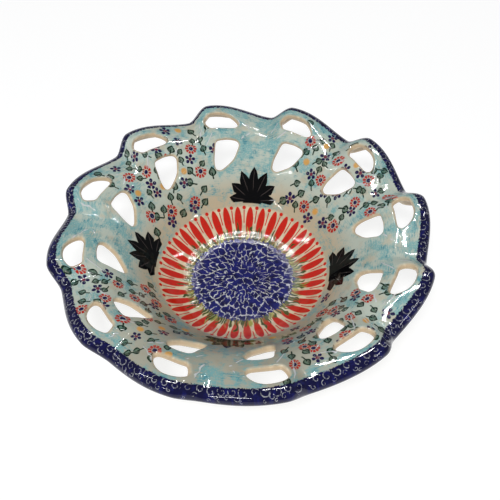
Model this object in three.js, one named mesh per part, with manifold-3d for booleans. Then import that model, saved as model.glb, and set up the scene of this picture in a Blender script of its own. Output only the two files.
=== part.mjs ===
// Openwork fruit bowl: one fired stoneware bowl with a wavy lip, a pierced wall and a foot ring.
// Millimetres, +Z up, height 0 on the table, the axis of the bowl on Z.
// The clay is divided where its finish or its form changes: foot ring, floor, coved band,
// twelve lobes of the wall and the rolled lip.
import * as THREE from 'three';
import { mergeVertices } from 'three/addons/utils/BufferGeometryUtils.js';
import Module from 'manifold-3d';

// Profile of the inside through the crest of a lobe: a flat floor, a cove, and a shoulder under the lip.
const LOBES = 12;
const RIM_RADIUS = 138;
const RIM_HEIGHT = 61.3;
const FLAT_RADIUS = 34.5;
const COVE_REACH = 41.8;
const SHOULDER_REACH = 53.2;

// Widths of the finishes, along the radius for the floor and the band and up the slope for the lip,
// which curls down over its width.
const FLOOR_MARGIN = 4.9;
const BAND_WIDTH = 26.6;
const LIP_BAND = 5.5;
const LIP_DROOP = 1.8;

// Thickness of the clay.
const FLOOR_THICKNESS = 6.5;
const WALL_THICKNESS = 5;
const LIP_THICKNESS = 9.6;
const LIP_SWELL = 6;

// Wave of the rim: how far a notch lies below and inside a crest, and how far out the wave starts.
const WAVE_DROP = 9.1;
const WAVE_INSET = 6.1;
const WAVE_MARGIN = 19;
const NOTCH_PHASE = 0.63;
const RISE_SHARE = 0.25;
const NOTCH_SHARPNESS = 0.85;

// Cut-outs, measured along the slope of the wall and along its arc, and the easing of their edges.
const ARCH_WIDTH = 4.8;
const UPPER_WIDTH = 28.2;
const UPPER_HEIGHT = 14.3;
const BAR_WIDTH = 10.8;
const LOWER_WIDTH = 21.2;
const LOWER_HEIGHT = 25;
const EDGE_EASE = 1.4;

// Foot ring.
const FOOT_HEIGHT = 4.5;
const FOOT_RADIUS = 57;
const FOOT_WIDTH = 7;
const FOOT_TAPER = 1.2;
const FOOT_CHAMFER = 0.8;

// Clearance left between neighbouring pieces.
const SEAM = 0.3;

// Fineness of the mesh.
const RISE_COLUMNS = 3;
const FALL_COLUMNS = 6;
const WALL_ROWS = 7;
const BAND_ROWS = 4;
const FLOOR_ROWS = 2;
const LIP_ROWS = 2;
const LIP_ROUND_STEPS = 6;
const TURN_STEPS = 48;
const HOLE_POINTS = 18;

const wasm = await Module();
wasm.setup();

const PITCH = (2 * Math.PI) / LOBES;
const NOTCH_ANGLE = PITCH * (1 - NOTCH_PHASE);
const FLOOR_LEVEL = FOOT_HEIGHT + FLOOR_THICKNESS;
const FLOOR_RADIUS = FLAT_RADIUS + FLOOR_MARGIN;
const BAND_RADIUS = FLOOR_RADIUS + BAND_WIDTH;
const WAVE_START_RADIUS = BAND_RADIUS + WAVE_MARGIN;

// Inside of the bowl from the edge of the flat floor to the crest of the lip, as radius and height.
const profile = new THREE.CubicBezierCurve(
  new THREE.Vector2(FLAT_RADIUS, FLOOR_LEVEL),
  new THREE.Vector2(FLAT_RADIUS + COVE_REACH, FLOOR_LEVEL),
  new THREE.Vector2(RIM_RADIUS - SHOULDER_REACH, FLOOR_LEVEL + RIM_HEIGHT),
  new THREE.Vector2(RIM_RADIUS, FLOOR_LEVEL + RIM_HEIGHT),
);
const SLOPE_LENGTH = profile.getLength();

// Share of the slope, 0 at the flat floor and 1 at the crest, where a growing radius reaches a value.
function shareWhere(radiusAt, value) {
  let low = 0;
  let high = 1;
  for (let i = 0; i < 40; i += 1) {
    const middle = (low + high) / 2;
    if (radiusAt(middle) < value) low = middle;
    else high = middle;
  }
  return (low + high) / 2;
}

const radiusInside = (share) => profile.getPointAt(share).x;
const floorEnd = shareWhere(radiusInside, FLOOR_RADIUS);
const bandEnd = shareWhere(radiusInside, BAND_RADIUS);
const lipStart = 1 - LIP_BAND / SLOPE_LENGTH;
const halfSeam = SEAM / 2 / SLOPE_LENGTH;

function smoothStep(x) {
  const t = Math.min(Math.max(x, 0), 1);
  return t * t * (3 - 2 * t);
}

// Height of the rim wave at an angle: 1 on a crest, 0 in a notch. A lobe has its cut-outs on angle 0,
// and going clockwise the wave climbs quickly out of a notch and falls slowly into the next.
function wave(angle) {
  const turns = -angle / PITCH - NOTCH_PHASE;
  const phase = turns - Math.floor(turns);
  const swing = phase < RISE_SHARE
    ? phase / RISE_SHARE
    : 1 - (phase - RISE_SHARE) / (1 - RISE_SHARE);
  return Math.pow(0.5 - 0.5 * Math.cos(Math.PI * swing), NOTCH_SHARPNESS);
}

// Point of the inside surface.
function insidePoint(share, angle) {
  const p = profile.getPointAt(Math.min(Math.max(share, 0), 1));
  const growth = smoothStep((p.x - WAVE_START_RADIUS) / (RIM_RADIUS - WAVE_START_RADIUS));
  const sink = (1 - wave(angle)) * growth;
  const curl = Math.max(0, 1 - ((1 - share) * SLOPE_LENGTH) / LIP_BAND);
  const r = p.x - sink * WAVE_INSET;
  const z = p.y - sink * WAVE_DROP - curl * curl * LIP_DROOP;
  return new THREE.Vector3(r * Math.cos(angle), r * Math.sin(angle), z);
}

// Point of the inside with its normal into the bowl and the direction up the slope.
function insideFrame(share, angle) {
  const step = 0.004;
  const low = Math.max(share - step, 0);
  const high = Math.min(share + step, 1);
  const up = insidePoint(high, angle).sub(insidePoint(low, angle)).normalize();
  const around = insidePoint(share, angle + step).sub(insidePoint(share, angle - step)).normalize();
  const normal = new THREE.Vector3().crossVectors(up, around).normalize();
  const rise = new THREE.Vector3().crossVectors(around, normal).normalize();
  return { point: insidePoint(share, angle), normal, rise };
}

// Thickness of the clay along the slope.
function thickness(share) {
  const swell = smoothStep(1 - ((1 - share) * SLOPE_LENGTH) / LIP_SWELL);
  const sole = 1 - smoothStep(share / bandEnd);
  return WALL_THICKNESS + (LIP_THICKNESS - WALL_THICKNESS) * swell + (FLOOR_THICKNESS - WALL_THICKNESS) * sole;
}

// Point of the wall at a depth below the inside.
function wallPoint(share, angle, depth) {
  const { point, normal } = insideFrame(share, angle);
  return point.addScaledVector(normal, -depth);
}

// Point of the outside, or of the inside, of the wall.
function facePoint(share, angle, outside) {
  return wallPoint(share, angle, outside ? thickness(share) : 0);
}

// Triangles between two rows of point numbers.
function strip(triangles, first, second) {
  for (let i = 0; i + 1 < first.length; i += 1) {
    triangles.push(first[i], first[i + 1], second[i + 1], first[i], second[i + 1], second[i]);
  }
}

// Closed solid of points and triangles, facing out.
function solidOf(points, triangles) {
  const solid = new wasm.Manifold(new wasm.Mesh({
    numProp: 3,
    vertProperties: new Float32Array(points.flatMap((p) => [p.x, p.y, p.z])),
    triVerts: new Uint32Array(triangles),
  }));
  return solid.volume() > 0 ? solid : solidOf(points, triangles.toReversed());
}

function geometryOf(solid) {
  const data = solid.getMesh();
  const geometry = new THREE.BufferGeometry();
  geometry.setAttribute('position', new THREE.BufferAttribute(new Float32Array(data.vertProperties), 3));
  geometry.setIndex(new THREE.BufferAttribute(new Uint32Array(data.triVerts), 1));
  geometry.computeVertexNormals();
  return geometry;
}

function meshOf(name, geometry, finish) {
  const mesh = new THREE.Mesh(geometry, new THREE.MeshStandardMaterial(finish));
  mesh.name = name;
  return mesh;
}

// Turned solid from the corners of its section, as radius and height, counter-clockwise.
function lathe(section) {
  const geometry = new THREE.LatheGeometry(section, TURN_STEPS);
  geometry.deleteAttribute('normal');
  geometry.deleteAttribute('uv');
  geometry.rotateX(Math.PI / 2);
  const merged = mergeVertices(geometry, 1e-4);
  merged.computeVertexNormals();
  return merged;
}

// Underside and inside of the bowl between two shares of the slope, both from low to high.
function coveSection(low, high, rows) {
  const under = [];
  const over = [];
  for (let i = 0; i <= rows; i += 1) {
    const share = low + ((high - low) * i) / rows;
    const bottom = facePoint(share, 0, true);
    const top = facePoint(share, 0, false);
    under.push(new THREE.Vector2(bottom.x, bottom.z));
    over.push(new THREE.Vector2(top.x, top.z));
  }
  return { under, over };
}

// Floor: the disc in the middle of the bowl, flat to the foot of the cove.
function buildFloor() {
  const { under, over } = coveSection(0, floorEnd - halfSeam, FLOOR_ROWS);
  const bottom = new THREE.Vector2(0, FLOOR_LEVEL - FLOOR_THICKNESS);
  const top = new THREE.Vector2(0, FLOOR_LEVEL);
  return lathe([bottom, ...under, ...over.toReversed(), top]);
}

// Coved band between the floor and the pierced wall.
function buildBand() {
  const { under, over } = coveSection(floorEnd + halfSeam, bandEnd - halfSeam, BAND_ROWS);
  return lathe([...under, ...over.toReversed(), under[0].clone()]);
}

// Foot ring under the coved band: flat sole, tapered sides, its top following the clay above it.
function buildFoot() {
  const radiusUnder = (share) => facePoint(share, 0, true).x;
  const topAt = (radius) => {
    const above = facePoint(shareWhere(radiusUnder, radius), 0, true);
    return new THREE.Vector2(radius, above.z - SEAM);
  };
  const inner = FOOT_RADIUS - FOOT_WIDTH;
  const section = [
    new THREE.Vector2(inner + FOOT_TAPER + FOOT_CHAMFER, 0),
    new THREE.Vector2(FOOT_RADIUS - FOOT_TAPER - FOOT_CHAMFER, 0),
    new THREE.Vector2(FOOT_RADIUS - FOOT_TAPER, FOOT_CHAMFER),
    topAt(FOOT_RADIUS),
    topAt(FOOT_RADIUS - FOOT_WIDTH / 2),
    topAt(inner),
    new THREE.Vector2(inner + FOOT_TAPER, FOOT_CHAMFER),
  ];
  return lathe([...section, section[0].clone()]);
}

// Outline of a cut-out as a closed curve: +x is clockwise along the arc, +y is up the slope,
// both as shares of the cut-out's width and height.
function holeOutline(corners) {
  const points = corners.map(([x, y]) => new THREE.Vector3(x, y, 0));
  const curve = new THREE.CatmullRomCurve3(points, true, 'centripetal');
  return curve.getPoints(HOLE_POINTS).slice(0, HOLE_POINTS);
}

// The upper cut-out is a leaning half moon.
const upperOutline = holeOutline([
  [-0.49, 0.8], [-0.36, 0.92], [-0.1, 1.0], [0.14, 0.98], [0.33, 0.83], [0.47, 0.55],
  [0.5, 0.3], [0.41, 0.08], [0.2, 0.0], [-0.1, 0.01], [-0.31, 0.06], [-0.42, 0.33],
]);

// The lower cut-out is a leaning drop with its point down the slope.
const lowerOutline = holeOutline([
  [-0.25, 0.96], [0.0, 1.0], [0.28, 1.0], [0.52, 0.95], [0.575, 0.84], [0.48, 0.61],
  [0.3, 0.33], [0.05, 0.14], [-0.23, 0.01], [-0.38, 0.06], [-0.425, 0.275], [-0.37, 0.61],
]);

// Outline in millimetres, moved outwards by a margin along its own normals.
function widened(outline, width, height, margin) {
  const points = outline.map(({ x, y }) => new THREE.Vector2(x * width, y * height));
  const count = points.length;
  return points.map((p, i) => {
    const tangent = points[(i + 1) % count].clone().sub(points[(i + count - 1) % count]).normalize();
    return new THREE.Vector2(p.x - tangent.y * margin, p.y + tangent.x * margin);
  });
}

// Plug through the wall along its normals, wider at both faces by the easing of the edges,
// with the foot of its outline at a distance down from the crest.
function holePlug(outline, width, height, distance) {
  const count = outline.length;
  const overshoot = WALL_THICKNESS;
  const rings = [
    { margin: EDGE_EASE + overshoot, depth: () => -overshoot },
    { margin: 0, depth: () => EDGE_EASE },
    { margin: 0, depth: (share) => thickness(share) - EDGE_EASE },
    { margin: EDGE_EASE + overshoot, depth: (share) => thickness(share) + overshoot },
  ];
  const points = [];
  const ends = [];
  for (const { margin, depth } of rings) {
    const end = new THREE.Vector3();
    for (const { x, y } of widened(outline, width, height, margin)) {
      const share = 1 - (distance - y) / SLOPE_LENGTH;
      const corner = wallPoint(share, -x / radiusInside(share), depth(share));
      points.push(corner);
      end.addScaledVector(corner, 1 / count);
    }
    ends.push(end);
  }
  const first = points.push(ends[0]) - 1;
  const last = points.push(ends[rings.length - 1]) - 1;
  const triangles = [];
  const ring = (level) => Array.from({ length: count + 1 }, (_, i) => level * count + (i % count));
  for (let level = 0; level + 1 < rings.length; level += 1) strip(triangles, ring(level), ring(level + 1));
  const top = ring(0);
  const bottom = ring(rings.length - 1);
  for (let i = 0; i < count; i += 1) {
    triangles.push(first, top[i + 1], top[i], last, bottom[i], bottom[i + 1]);
  }
  return solidOf(points, triangles);
}

// Places of the columns of one lobe, from its counter-clockwise notch to its clockwise one.
function columnShares() {
  const shares = [];
  for (let i = 0; i < RISE_COLUMNS; i += 1) shares.push((RISE_SHARE * i) / RISE_COLUMNS);
  for (let i = 0; i <= FALL_COLUMNS; i += 1) shares.push(RISE_SHARE + ((1 - RISE_SHARE) * i) / FALL_COLUMNS);
  return shares;
}

// One lobe of the wall, from notch to notch, with its two cut-outs.
function buildLobe() {
  const low = bandEnd + halfSeam;
  const high = lipStart - halfSeam;
  const columns = columnShares();
  const points = [];
  for (const outside of [false, true]) {
    for (let row = 0; row <= WALL_ROWS; row += 1) {
      const share = low + ((high - low) * row) / WALL_ROWS;
      const margin = SEAM / 2 / radiusInside(share);
      for (const column of columns) {
        points.push(facePoint(share, NOTCH_ANGLE - margin - (PITCH - 2 * margin) * column, outside));
      }
    }
  }
  const width = columns.length;
  const sheet = width * (WALL_ROWS + 1);
  const across = (row, depth) => columns.map((_, i) => depth * sheet + row * width + i);
  const along = (i, depth) => Array.from({ length: WALL_ROWS + 1 }, (_, row) => depth * sheet + row * width + i);
  const triangles = [];
  for (let row = 0; row < WALL_ROWS; row += 1) {
    strip(triangles, across(row + 1, 0), across(row, 0));
    strip(triangles, across(row, 1), across(row + 1, 1));
  }
  strip(triangles, across(0, 0), across(0, 1));
  strip(triangles, across(WALL_ROWS, 1), across(WALL_ROWS, 0));
  strip(triangles, along(0, 1), along(0, 0));
  strip(triangles, along(width - 1, 0), along(width - 1, 1));
  const upperFoot = LIP_BAND + ARCH_WIDTH + UPPER_HEIGHT;
  const lowerFoot = upperFoot + BAR_WIDTH + LOWER_HEIGHT;
  const pierced = solidOf(points, triangles)
    .subtract(holePlug(upperOutline, UPPER_WIDTH, UPPER_HEIGHT, upperFoot))
    .subtract(holePlug(lowerOutline, LOWER_WIDTH, LOWER_HEIGHT, lowerFoot));
  return geometryOf(pierced);
}

// Section of the lip at an angle: its face against the wall, the inside up to the crest, and a half round.
function lipSection(angle) {
  const start = lipStart + halfSeam;
  const { point, normal, rise } = insideFrame(1, angle);
  const radius = LIP_THICKNESS / 2;
  const centre = point.addScaledVector(normal, -radius);
  const loop = [facePoint(start, angle, true)];
  for (let i = 0; i < LIP_ROWS; i += 1) {
    loop.push(facePoint(start + ((1 - start) * i) / LIP_ROWS, angle, false));
  }
  for (let i = 0; i <= LIP_ROUND_STEPS; i += 1) {
    const turn = (Math.PI * i) / LIP_ROUND_STEPS;
    loop.push(centre.clone()
      .addScaledVector(normal, radius * Math.cos(turn))
      .addScaledVector(rise, radius * Math.sin(turn)));
  }
  return loop;
}

// Rolled lip, one closed wavy ring.
function buildLip() {
  const points = [];
  const rings = [];
  const columns = columnShares().slice(0, -1);
  for (let lobe = 0; lobe < LOBES; lobe += 1) {
    for (const column of columns) {
      const first = points.length;
      const loop = lipSection(NOTCH_ANGLE - PITCH * (column + lobe));
      points.push(...loop);
      rings.push([...loop.map((_, i) => first + i), first]);
    }
  }
  const triangles = [];
  rings.forEach((ring, i) => strip(triangles, ring, rings[(i + 1) % rings.length]));
  return geometryOf(solidOf(points, triangles));
}

const bareClay = { color: 0xb59d7c, roughness: 0.85, metalness: 0 };
const cobaltGlaze = { color: 0x1f2a6b, roughness: 0.15, metalness: 0 };
const redGlaze = { color: 0xb5746a, roughness: 0.15, metalness: 0 };
const aquaGlaze = { color: 0xa9c4c2, roughness: 0.15, metalness: 0 };

const bowl = new THREE.Group();
bowl.name = 'openwork_fruit_bowl';
bowl.add(meshOf('foot_ring', buildFoot(), bareClay));
bowl.add(meshOf('well_floor', buildFloor(), cobaltGlaze));
bowl.add(meshOf('coved_band', buildBand(), redGlaze));
const lobeGeometry = buildLobe();
for (let i = 0; i < LOBES; i += 1) {
  const lobe = meshOf(`wall_lobe_${String(i + 1).padStart(2, '0')}`, lobeGeometry.clone(), aquaGlaze);
  lobe.rotation.z = -PITCH * i;
  bowl.add(lobe);
}
bowl.add(meshOf('rolled_lip', buildLip(), cobaltGlaze));

export default bowl;
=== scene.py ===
"""Dresses the openwork fruit bowl: a seamless glazed body with its painting, and a bare clay foot ring."""

import logging
import math
from collections.abc import Sequence
from dataclasses import dataclass
from enum import Enum, IntEnum

import bpy
import numpy as np
from bpy.types import Material, Mesh, Node, NodeTree, Object
from bpy.types import NodeSocket as Socket
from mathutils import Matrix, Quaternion, Vector
from mathutils.geometry import delaunay_2d_cdt


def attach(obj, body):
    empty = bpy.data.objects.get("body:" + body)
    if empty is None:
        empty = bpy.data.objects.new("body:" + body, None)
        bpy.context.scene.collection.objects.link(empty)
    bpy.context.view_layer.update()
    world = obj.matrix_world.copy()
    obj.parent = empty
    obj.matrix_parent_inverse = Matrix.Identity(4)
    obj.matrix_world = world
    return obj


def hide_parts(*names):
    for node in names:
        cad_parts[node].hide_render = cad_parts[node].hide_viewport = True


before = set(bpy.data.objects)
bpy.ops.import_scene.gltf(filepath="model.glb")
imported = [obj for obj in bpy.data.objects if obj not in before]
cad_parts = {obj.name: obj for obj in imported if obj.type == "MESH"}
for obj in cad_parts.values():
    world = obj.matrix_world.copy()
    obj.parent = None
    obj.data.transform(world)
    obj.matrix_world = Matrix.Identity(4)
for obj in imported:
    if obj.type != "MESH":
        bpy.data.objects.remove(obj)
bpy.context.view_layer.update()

log = logging.getLogger("fruit_bowl")

METRES = 0.001
FULL_TURN = 2.0 * math.pi
PROFILE_POINTS = 4001
CURVE_STEPS = 24
SLANT_STEP = 0.05
ANGLE_STEP = 0.001
UNROLLED = "unrolled"
RIM_PLACE = "rim"
CUT_SHARE = "cut"
Colour = tuple[float, float, float, float]
Point = tuple[float, float, float]
Span = tuple[float, float]
Array = np.ndarray


class Face(IntEnum):
    """Material slots of a glazed piece."""

    INSIDE = 0
    OUTSIDE = 1


class Slot(Enum):
    """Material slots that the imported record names."""

    BARE_CLAY = "bare_clay"
    COBALT = "cobalt_glaze"
    BAND = "band_glaze"
    WALL = "wall_glaze"


def paint(red: int, green: int, blue: int) -> Colour:
    """Turns an ordinary screen colour into the linear one that shaders use, by the sRGB curve.

    Args:
        red: Red from 0 to 255.
        green: Green from 0 to 255.
        blue: Blue from 0 to 255.

    Returns:
        The linear colour with a full alpha.
    """
    linear = []
    for part in (red, green, blue):
        share = part / 255.0
        linear.append(share / 12.92 if share <= 0.04045 else ((share + 0.055) / 1.055) ** 2.4)
    return (linear[0], linear[1], linear[2], 1.0)


def smoothstep(share: Array) -> Array:
    """Eases a share from 0 to 1, level at both ends."""
    cut = np.clip(share, 0.0, 1.0)
    return cut * cut * (3.0 - 2.0 * cut)


def beyond(start: float, span: Span) -> Span:
    """Moves both ends of a span on by a start."""
    return start + span[0], start + span[1]


@dataclass(frozen=True)
class BowlSizes:
    """Sizes of the fired clay, in millimetres and lobes."""

    lobes: int = 12
    rim_radius: float = 138.0
    rim_height: float = 61.3
    flat_radius: float = 34.5
    cove_reach: float = 41.8
    shoulder_reach: float = 53.2
    medallion_radius: float = 39.4
    band_radius: float = 66.0
    lip_band: float = 5.5
    lip_droop: float = 1.8
    floor_thickness: float = 6.5
    wall_thickness: float = 5.0
    lip_thickness: float = 9.6
    lip_swell: float = 6.0
    wave_drop: float = 9.1
    wave_inset: float = 6.1
    wave_start_radius: float = 85.0
    notch_phase: float = 0.63
    rise_share: float = 0.25
    notch_sharpness: float = 0.85
    foot_height: float = 4.5
    edge_round: float = 2.1

    @property
    def floor_level(self) -> float:
        """Height of the inside floor above the table."""
        return self.foot_height + self.floor_thickness

    @property
    def pitch(self) -> float:
        """Angle taken by one lobe."""
        return FULL_TURN / self.lobes


@dataclass(frozen=True)
class CutOut:
    """One opening of a lobe, as shares of its width and height, with x clockwise and y up the slope."""

    width: float
    height: float
    foot: float
    marks: tuple[tuple[float, float], ...]

    def outline(self, count: int) -> Array:
        """Runs a closed centripetal curve through the marks.

        Args:
            count: Number of points wanted.

        Returns:
            Evenly spread points, anticlockwise, in millimetres.
        """
        marks = np.array(self.marks) * (self.width, self.height)
        curve = np.concatenate([self._span(marks, i) for i in range(len(marks))])
        closed = np.vstack([curve, curve[:1]])
        run = np.concatenate([[0.0], np.cumsum(np.linalg.norm(np.diff(closed, axis=0), axis=1))])
        wanted = np.linspace(0.0, run[-1], count, endpoint=False)
        points = np.stack([np.interp(wanted, run, closed[:, axis]) for axis in (0, 1)], axis=1)
        after = np.roll(points, -1, axis=0)
        area = np.sum(points[:, 0] * after[:, 1] - points[:, 1] * after[:, 0])
        return points if area > 0.0 else points[::-1]

    @staticmethod
    def _span(marks: Array, index: int) -> Array:
        """Draws the curve from one mark to the next.

        Args:
            marks: All the marks in millimetres.
            index: Mark that the span starts from.

        Returns:
            Points of the span without its last one.
        """
        before, start, end, after = (marks[(index + k) % len(marks)] for k in (-1, 0, 1, 2))
        lead = math.sqrt(np.linalg.norm(start - before))
        middle = math.sqrt(np.linalg.norm(end - start))
        tail = math.sqrt(np.linalg.norm(after - end))
        leave = (start - before) / lead - (end - before) / (lead + middle) + (end - start) / middle
        arrive = (end - start) / middle - (after - start) / (middle + tail) + (after - end) / tail
        t = np.linspace(0.0, 1.0, CURVE_STEPS, endpoint=False)[:, None]
        bend = (2.0 * t**3 - 3.0 * t**2 + 1.0) * start + (3.0 * t**2 - 2.0 * t**3) * end
        return bend + middle * ((t**3 - 2.0 * t**2 + t) * leave + (t**3 - t**2) * arrive)

    @staticmethod
    def widened(outline: Array, margin: float) -> Array:
        """Moves an outline outwards by a margin.

        Args:
            outline: Anticlockwise points.
            margin: Distance in millimetres.

        Returns:
            The moved points.
        """
        run = np.roll(outline, -1, axis=0) - np.roll(outline, 1, axis=0)
        out = np.stack([run[:, 1], -run[:, 0]], axis=1)
        return outline + margin * out / np.linalg.norm(out, axis=1, keepdims=True)


MOON = CutOut(
    width=28.2,
    height=14.3,
    foot=24.6,
    marks=(
        (-0.49, 0.8), (-0.36, 0.92), (-0.1, 1.0), (0.14, 0.98),
        (0.33, 0.83), (0.47, 0.55), (0.5, 0.3), (0.41, 0.08),
        (0.2, 0.0), (-0.1, 0.01), (-0.31, 0.06), (-0.42, 0.33),
    ),
)
DROP = CutOut(
    width=21.2,
    height=25.0,
    foot=60.4,
    marks=(
        (-0.25, 0.96), (0.0, 1.0), (0.28, 1.0), (0.52, 0.95),
        (0.575, 0.84), (0.48, 0.61), (0.3, 0.33), (0.05, 0.14),
        (-0.23, 0.01), (-0.38, 0.06), (-0.425, 0.275), (-0.37, 0.61),
    ),
)


class BowlSurface:
    """The waved inside face of the bowl, measured by slant (way up from the centre) and angle."""

    def __init__(self, sizes: BowlSizes) -> None:
        """Measures the arm of the profile once.

        Args:
            sizes: Sizes of the clay.
        """
        self.sizes = sizes
        top = sizes.floor_level + sizes.rim_height
        t = np.linspace(0.0, 1.0, PROFILE_POINTS)
        weights = ((1 - t) ** 3, 3 * t * (1 - t) ** 2, 3 * t**2 * (1 - t), t**3)
        flat, rim = sizes.flat_radius, sizes.rim_radius
        radii = (flat, flat + sizes.cove_reach, rim - sizes.shoulder_reach, rim)
        heights = (sizes.floor_level, sizes.floor_level, top, top)
        self._radius = sum(w * r for w, r in zip(weights, radii))
        self._height = sum(w * z for w, z in zip(weights, heights))
        steps = np.hypot(np.diff(self._radius), np.diff(self._height))
        self._run = np.concatenate([[0.0], np.cumsum(steps)])
        self.slope = float(self._run[-1])
        self.crest = flat + self.slope
        self.medallion_edge = self.slant_at(sizes.medallion_radius)
        self.band_edge = self.slant_at(sizes.band_radius)
        self.lip_edge = self.crest - sizes.lip_band

    def slant_at(self, radius: float) -> float:
        """Slant of the place on the profile with a given radius."""
        return self.sizes.flat_radius + float(np.interp(radius, self._radius, self._run))

    def plain_radius(self, slant: Array) -> Array:
        """Radius of the profile without its wave."""
        flat = self.sizes.flat_radius
        return np.where(slant < flat, slant, np.interp(slant - flat, self._run, self._radius))

    def wave(self, angle: Array) -> Array:
        """Height of the rim's wave.

        Args:
            angle: Angles about the upright axis.

        Returns:
            Values from 0 in a notch to 1 on a crest.
        """
        sizes = self.sizes
        turns = -angle / sizes.pitch - sizes.notch_phase
        phase = turns - np.floor(turns)
        fall = 1.0 - (phase - sizes.rise_share) / (1.0 - sizes.rise_share)
        swing = np.where(phase < sizes.rise_share, phase / sizes.rise_share, fall)
        return (0.5 - 0.5 * np.cos(np.pi * swing)) ** sizes.notch_sharpness

    def inside(self, slant: Array, angle: Array) -> Array:
        """Places points on the inside face.

        Args:
            slant: Way up from the centre, in millimetres.
            angle: Angles about the upright axis.

        Returns:
            One row of x, y and z for each point, in millimetres.
        """
        sizes = self.sizes
        run = np.clip(slant - sizes.flat_radius, 0.0, self.slope)
        radius = self.plain_radius(np.minimum(slant, self.crest))
        height = np.interp(run, self._run, self._height)
        start = sizes.wave_start_radius
        sink = (1.0 - self.wave(angle)) * smoothstep((radius - start) / (sizes.rim_radius - start))
        curl = np.maximum(0.0, 1.0 - (self.slope - run) / sizes.lip_band)
        radius = radius - sink * sizes.wave_inset
        height = height - sink * sizes.wave_drop - curl**2 * sizes.lip_droop
        return np.stack([radius * np.cos(angle), radius * np.sin(angle), height], axis=-1)

    def rise(self, slant: Array, angle: Array) -> Array:
        """Unit directions up the slope.

        Args:
            slant: Way up from the centre.
            angle: Angle about the upright axis.

        Returns:
            One direction for each place.
        """
        above = self.inside(np.minimum(slant + SLANT_STEP, self.crest), angle)
        step = above - self.inside(np.maximum(slant - SLANT_STEP, 0.0), angle)
        return step / np.linalg.norm(step, axis=-1, keepdims=True)

    def normal(self, slant: Array, angle: Array) -> Array:
        """Unit normals into the bowl.

        Args:
            slant: Way up from the centre.
            angle: Angles about the upright axis.

        Returns:
            One unit row for each point.
        """
        safe = np.maximum(slant, 1.0)
        around = self.inside(safe, angle + ANGLE_STEP) - self.inside(safe, angle - ANGLE_STEP)
        normal = np.cross(self.rise(safe, angle), around)
        return normal / np.linalg.norm(normal, axis=-1, keepdims=True)

    def thickness(self, slant: Array) -> Array:
        """Thickness of the clay, stout at the floor and at the lip.

        Args:
            slant: Way up from the centre.

        Returns:
            One thickness for each slant.
        """
        sizes = self.sizes
        run = np.clip(slant - sizes.flat_radius, 0.0, self.slope)
        lip = smoothstep(1.0 - (self.slope - run) / sizes.lip_swell)
        floor = 1.0 - smoothstep(run / (self.band_edge - sizes.flat_radius))
        thicker_lip = sizes.lip_thickness - sizes.wall_thickness
        thicker_floor = sizes.floor_thickness - sizes.wall_thickness
        return sizes.wall_thickness + thicker_lip * lip + thicker_floor * floor

    def under(self, slant: Array, angle: Array) -> Array:
        """Points of the outside face under the given places."""
        depth = self.thickness(slant)[..., None]
        return self.inside(slant, angle) - depth * self.normal(slant, angle)


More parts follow.
